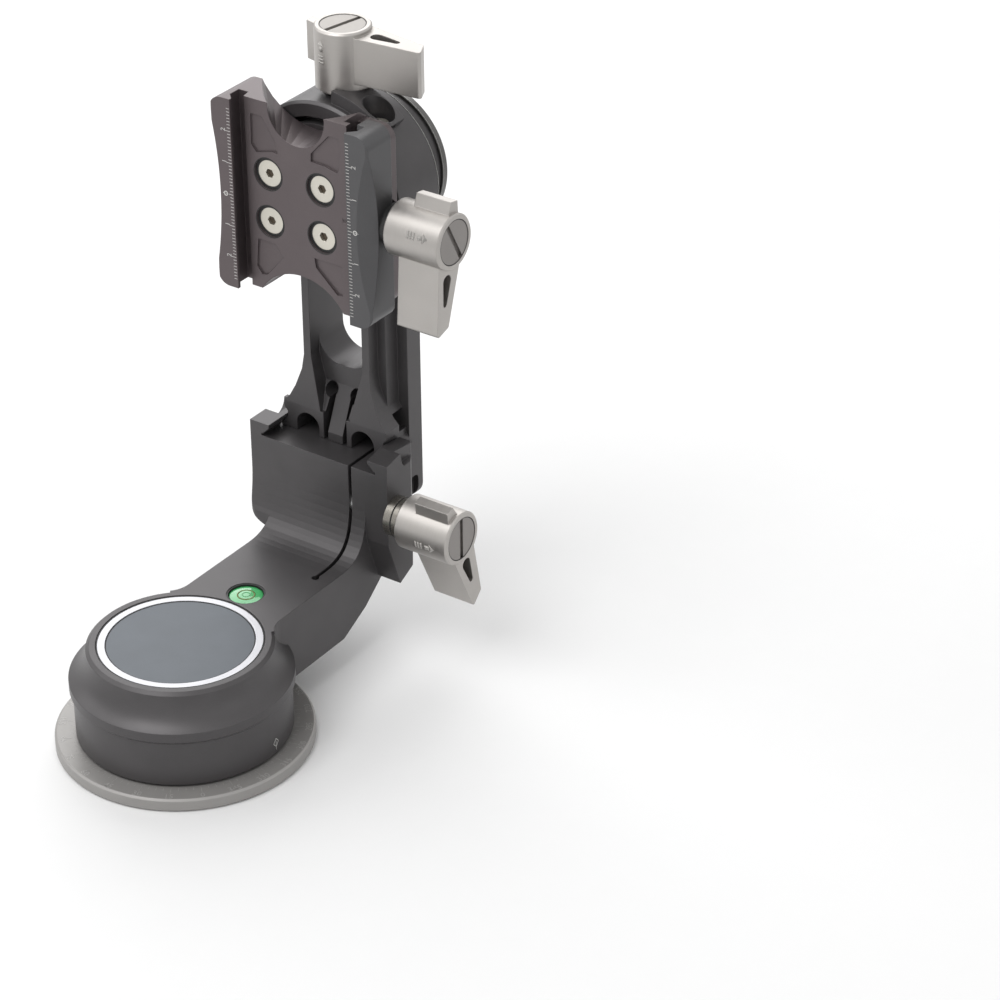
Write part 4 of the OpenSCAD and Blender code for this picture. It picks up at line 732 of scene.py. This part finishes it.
class HEAD_OT_level(bpy.types.Operator):
    """Fill the bullseye level: green liquid with a glossy domed top, its ring and the bubble's rim"""

    bl_idname = "head.level"
    bl_label = "Bullseye level"

    def execute(self, context):
        f = context.scene.head_finishes
        centre = np.array([LEVEL_CENTRE.x, LEVEL_CENTRE.y, 0.0])
        liquid = plain_material("level_liquid", tuple(f.liquid), 0.30, 300.0, MICRON, 0.12, 0.1 * MM)
        shader = liquid.node_tree.nodes["Principled BSDF"]
        shader.inputs["Coat Weight"].default_value = 1.0
        shader.inputs["Coat Roughness"].default_value = 0.04
        line = plain_material("level_line", tuple(f.level_ring), 0.4)
        pale = plain_material("level_bubble", tuple(f.bubble), 0.12, 500.0, MICRON)
        # The window's rim stands on the vial's wall, and its middle rises to just under the cup's rim
        rim_z, rise = LEVEL_HIGH.z - 0.60 * MM, 0.50 * MM
        points, faces = dome(LEVEL_R, rise, rim_z, LEVEL_LOW.z)
        made = sheet_mesh("level_liquid", points + centre, faces, liquid, "pan")
        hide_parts("level_vial")
        # The printed ring and the bubble's rim lie a little off the window's middle
        rings_middle, print_lift = (0.1 * MM, -0.1 * MM), 0.03 * MM
        rings = (("level_line", 2.55 * MM, 0.21 * MM, line), ("level_bubble", 1.15 * MM, 0.13 * MM, pale))
        for name, radius, half, shade in rings:
            flat, faces = flat_ring(rings_middle, radius, half, 48)
            placed = window_surface(centre, LEVEL_R, rise, rim_z, print_lift)(flat)
            sheet_mesh(name, placed, faces, shade, "pan", PRINT_WALL)
        return {"FINISHED"}


class HEAD_OT_screw_sockets(bpy.types.Operator):
    """Paint shade into the clamp screws' hexagon sockets, and into the well round each screw and on its edge
    """

    bl_idname = "head.screw_sockets"
    bl_label = "Screw sockets"

    def execute(self, context):
        f = context.scene.head_finishes
        # Painted shade: a dark hexagon sheet deep in each socket stands in for the shade in the hole
        dark = plain_material("socket_shade", tuple(f.painted_socket_shade), 0.5)
        shade = plain_material("well_shade", tuple(f.black_and_painted_shade), 0.6)
        socket_r, socket_depth, well_edge = 1.40 * MM, 0.95 * MM, 0.28 * MM
        low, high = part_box("clamp_screws")
        face_y = low.y
        places = [(x, z) for x in (low.x + SCREW_HEAD_R, high.x - SCREW_HEAD_R)
                  for z in (low.z + SCREW_HEAD_R, high.z - SCREW_HEAD_R)]
        turns = np.radians(60.0 * np.arange(6))
        hexagon = np.stack([socket_r * np.cos(turns), socket_r * np.sin(turns)], -1)
        points, faces = joined([(hexagon + np.array(place), [list(range(6))]) for place in places])
        placed = facing_front(face_y + socket_depth)(points)
        sheet_mesh("screw_sockets", placed, faces, dark, "rotor", PRINT_WALL, False)
        # Painted shade: black rings across each well and on its edge stand in for the shade in the recess
        # round the screw
        wells = (("screw_well_shade", face_y - LIFT, SCREW_HEAD_R, WELL_R - LIFT),
                 ("screw_well_edge_shade", face_y - WELL_DEPTH - LIFT, WELL_R - LIFT, WELL_R + well_edge))
        for name, y, inner, outer in wells:
            points, faces = joined([flat_ring(place, (inner + outer) / 2, (outer - inner) / 2, 48)
                                    for place in places])
            placed = facing_front(y)(points)
            sheet_mesh(name, placed, faces, shade, "rotor", SHADE_WALL, False)
        return {"FINISHED"}


class HEAD_OT_cap_gaps(bpy.types.Operator):
    """Paint shade into the narrow gaps inside and outside the bright ring of the cap"""

    bl_idname = "head.cap_gaps"
    bl_label = "Cap gaps"

    def execute(self, context):
        # Painted shade: black rings lie where the shade of the narrow gaps falls
        dark = plain_material("cap_gap_shade", tuple(context.scene.head_finishes.black_and_painted_shade), 0.6)
        gaps = (("cap_outer_gap_shade", "cap_ring", 0.20 * MM), ("cap_inner_gap_shade", "cap_disc", 0.11 * MM))
        for name, piece, half in gaps:
            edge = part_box(piece)[1]
            flat, faces = flat_ring((0, 0), edge.x - half, half, 96)
            placed = facing_up(edge.z + LIFT)(flat)
            sheet_mesh(name, placed, faces, dark, "pan", SHADE_WALL, False)
        return {"FINISHED"}


class HEAD_OT_lever_gaps(bpy.types.Operator):
    """Paint shade into the gap round each lever's slotted cap and the two joints of the receiver lever's
    collar
    """

    bl_idname = "head.lever_gaps"
    bl_label = "Lever gaps"

    def execute(self, context):
        # Painted shade: black rings and bands lie where the shade of the gaps and joints falls
        dark = plain_material("lever_gap_shade", tuple(context.scene.head_finishes.black_and_painted_shade), 0.6)
        cap_gap_half, inner_half, outer_half = 0.13 * MM, 0.22 * MM, 0.16 * MM
        caps = {
            "lens_lever": ((0, 1, 0), (0, 0, 1), "lens_lock"),
            "receiver_lever": ((0, 1, 0), (0, 0, 1), "receiver_lock"),
            "tilt_lever": ((1, 0, 0), (0, 1, 0), "tilt_lock"),
        }
        for name, (right, up, body) in caps.items():
            low, high = (np.array(corner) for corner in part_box(f"{name}_cap"))
            out = np.cross(right, up)
            face = (low + high) / 2 + out * ((high - low) @ out / 2 + LIFT)
            flat, faces = flat_ring((0, 0), (high - low) @ np.array(up) / 2, cap_gap_half, 64)
            placed = flat_surface(face, right, up)(flat)
            sheet_mesh(f"{name}_gap", placed, faces, dark, body, SHADE_WALL, False)
        low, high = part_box("receiver_collar")
        radius = (high.z - low.z) / 2 + LIFT
        points, faces = joined([round_band(low.x + inner_half, inner_half, radius),
                                round_band(high.x - outer_half, outer_half, radius)])
        surface = barrel_surface((0, RECEIVER_AXIS.y, RECEIVER_AXIS.z), (1, 0, 0), (0, 1, 0), radius)
        sheet_mesh("collar_gap_shade", surface(points), faces, dark, "receiver_lock",
                   SHADE_WALL)
        return {"FINISHED"}


class HEAD_OT_rim_lines(bpy.types.Operator):
    """Paint highlights on the thin edges of the head's drum and of the tilt disc, where they catch the light
    """

    bl_idname = "head.rim_lines"
    bl_label = "Rim lines"

    def execute(self, context):
        # Painted highlight: light bands on the edges stand in for the light that the edges catch
        highlight_paint = metal_material("edge_highlight_paint", tuple(context.scene.head_finishes.painted_edge_highlight), 0.6, 0.4)
        half = 0.14 * MM
        disc_low, disc_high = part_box("tilt_disc")
        disc_r = (disc_high.z - disc_low.z) / 2
        drum_edge_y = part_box("vertical_arm")[1].y - HEAD_EDGE
        lines = (("head_edge_highlight", HEAD_R, drum_edge_y, "upright"),
                 ("tilt_disc_edge_highlight", disc_r, disc_low.y + 2 * half, "rotor"))
        for name, radius, place, body in lines:
            points, faces = round_band(place, half, radius + LIFT, 96)
            surface = barrel_surface((0, 0, TILT_Z), (0, 1, 0), (1, 0, 0), radius + LIFT)
            sheet_mesh(name, surface(points), faces, highlight_paint, body, SHADE_WALL)
        return {"FINISHED"}


class HEAD_OT_springs(bpy.types.Operator):
    """Wind the two return springs of the movable jaw in round wire"""

    bl_idname = "head.springs"
    bl_label = "Jaw springs"

    def execute(self, context):
        wire = metal_material("spring_wire", tuple(context.scene.head_finishes.steel), 1.0, 0.3,
                              grain_scale=5000.0, grain_depth=3 * MICRON)
        wire_r, end_inset, turns = 0.35 * MM, 0.38 * MM, 6
        mid_r = (SPRING_HIGH.y - SPRING_LOW.y) / 2 - wire_r
        y = (SPRING_LOW.y + SPRING_HIGH.y) / 2
        spread = (SPRING_HIGH.z - SPRING_LOW.z) / 2 - mid_r - wire_r
        parts = []
        for side in (-1, 1):
            points, faces = coil(SPRING_LOW.x + end_inset, SPRING_HIGH.x - end_inset, mid_r, wire_r, turns)
            parts.append((points + np.array([0, y, TILT_Z + side * spread]), faces))
        points, faces = joined(parts)
        made = sheet_mesh("spring_coils", points, faces, wire, "rotor")
        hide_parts("jaw_springs")
        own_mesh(made)
        return {"FINISHED"}


def lay_floor(scene, colour):
    """A level grid of pale floor. P(u, v) = (u, v, 0)."""
    steps = 9
    data = bpy.data.meshes.new("floor")
    side = np.linspace(-FLOOR_HALF, FLOOR_HALF, steps)
    u, v = np.meshgrid(side, side)
    data.from_pydata(np.stack([u, v, 0 * u], -1).reshape(-1, 3).tolist(), [],
                     grid_faces(steps, steps).tolist())
    floor = bpy.data.objects.new("floor", data)
    scene.collection.objects.link(floor)
    data.materials.append(plain_material("pale_floor", colour, 0.7, 900.0, 2 * MICRON, 0.005))


def light_world(scene, sky):
    """An even sky, which the camera, mirrors and glass see as plain white."""
    world = bpy.data.worlds.new("studio")
    world.use_nodes = True
    tree = world.node_tree
    tree.nodes.clear()
    out = node_of(tree, "ShaderNodeOutputWorld", (600, 0))
    soft = node_of(tree, "ShaderNodeBackground", (200, 100))
    soft.inputs["Color"].default_value = (1, 1, 1, 1)
    soft.inputs["Strength"].default_value = sky
    white = node_of(tree, "ShaderNodeBackground", (200, -100))
    white.inputs["Color"].default_value = (1, 1, 1, 1)
    white.inputs["Strength"].default_value = 1.0
    path = node_of(tree, "ShaderNodeLightPath", (-200, 300))
    mix = node_of(tree, "ShaderNodeMixShader", (420, 0))
    shown = path.outputs["Is Camera Ray"]
    for k, ray in enumerate(("Is Glossy Ray", "Is Transmission Ray")):
        either = node_of(tree, "ShaderNodeMath", (20 + 180 * k, 300), operation="MAXIMUM")
        tree.links.new(shown, either.inputs[0])
        tree.links.new(path.outputs[ray], either.inputs[1])
        shown = either.outputs[0]
    tree.links.new(shown, mix.inputs["Fac"])
    tree.links.new(soft.outputs[0], mix.inputs[1])
    tree.links.new(white.outputs[0], mix.inputs[2])
    tree.links.new(mix.outputs[0], out.inputs["Surface"])
    scene.world = world


def hang_lamp(scene, name, power, place, width):
    """A round soft lamp that aims at the middle of the head."""
    data = bpy.data.lights.new(name, "AREA")
    data.shape = "DISK"
    data.size = width
    data.energy = power
    lamp = bpy.data.objects.new(name, data)
    lamp.location = place
    lamp.rotation_mode = "QUATERNION"
    lamp.rotation_quaternion = (LAMP_AIM - Vector(place)).to_track_quat("-Z", "Y")
    scene.collection.objects.link(lamp)


def set_camera(scene, stage):
    """The camera at the photograph's viewing angle, its frame built from azimuth, pitch and roll."""
    data = bpy.data.cameras.new("camera")
    data.sensor_width = SENSOR_WIDTH_MM
    data.lens = stage.lens
    data.clip_start, data.clip_end = 0.05, 20.0
    camera = bpy.data.objects.new("camera", data)
    scene.collection.objects.link(camera)
    ca, sa = math.cos(stage.azimuth), math.sin(stage.azimuth)
    cp, sp = math.cos(stage.pitch), math.sin(stage.pitch)
    cr, sr = math.cos(stage.roll), math.sin(stage.roll)
    right = Vector((ca, sa, 0))
    ahead = Vector((-sa * cp, ca * cp, -sp))
    up = Vector((-sa * sp, ca * sp, cp))
    turn = Matrix((cr * right + sr * up, cr * up - sr * right, -ahead)).transposed()
    camera.matrix_world = Matrix.Translation(CAMERA_PLACE) @ turn.to_4x4()
    scene.camera = camera


class HEAD_OT_stage(bpy.types.Operator):
    """Set the pale floor, the soft lamps and the camera"""

    bl_idname = "head.stage"
    bl_label = "Stage"

    def execute(self, context):
        scene, stage = context.scene, context.scene.head_stage
        scene.view_settings.view_transform = "Standard"
        lay_floor(scene, tuple(stage.floor))
        light_world(scene, stage.sky)
        powers = {"key": stage.key_power, "side": stage.side_power, "fill_left": stage.fill_power,
                  "back": stage.back_power}
        for name, (place, width) in LAMP_PLACES.items():
            hang_lamp(scene, name, powers[name], place, width)
        set_camera(scene, stage)
        return {"FINISHED"}


STEPS = (HEAD_OT_metal_finishes, HEAD_OT_disc_scale, HEAD_OT_jaw_scales, HEAD_OT_drum_index,
         HEAD_OT_lever_marks, HEAD_OT_level, HEAD_OT_screw_sockets, HEAD_OT_cap_gaps,
         HEAD_OT_lever_gaps, HEAD_OT_rim_lines, HEAD_OT_springs, HEAD_OT_stage)


class HEAD_PT_panel(bpy.types.Panel):
    """The head's sizes, colours and steps"""

    bl_idname = "HEAD_PT_panel"
    bl_label = "Gimbal head"
    bl_space_type = "VIEW_3D"
    bl_region_type = "UI"
    bl_category = "Gimbal head"

    def draw(self, context):
        for group in (context.scene.head_finishes, context.scene.head_marks, context.scene.head_stage):
            box = self.layout.box()
            for name in group.__annotations__:
                box.prop(group, name)
        for step in STEPS:
            self.layout.operator(step.bl_idname)


GROUPS = {"head_finishes": HeadFinishes, "head_marks": HeadMarks, "head_stage": HeadStage}
CLASSES = (*GROUPS.values(), *STEPS, HEAD_PT_panel)


def register():
    """Registers the classes and hangs the sizes and colours on the scene."""
    for made in CLASSES:
        bpy.utils.register_class(made)
    for name, group in GROUPS.items():
        setattr(bpy.types.Scene, name, bpy.props.PointerProperty(type=group))


def unregister():
    """Takes the sizes and colours off the scene and unregisters the classes."""
    for name in GROUPS:
        delattr(bpy.types.Scene, name)
    for made in reversed(CLASSES):
        bpy.utils.unregister_class(made)


def main():
    """Runs every step in order."""
    register()
    bpy.ops.head.metal_finishes()
    bpy.ops.head.disc_scale()
    bpy.ops.head.jaw_scales()
    bpy.ops.head.drum_index()
    bpy.ops.head.lever_marks()
    bpy.ops.head.level()
    bpy.ops.head.screw_sockets()
    bpy.ops.head.cap_gaps()
    bpy.ops.head.lever_gaps()
    bpy.ops.head.rim_lines()
    bpy.ops.head.springs()
    bpy.ops.head.stage()


if __name__ == "__main__":
    main()
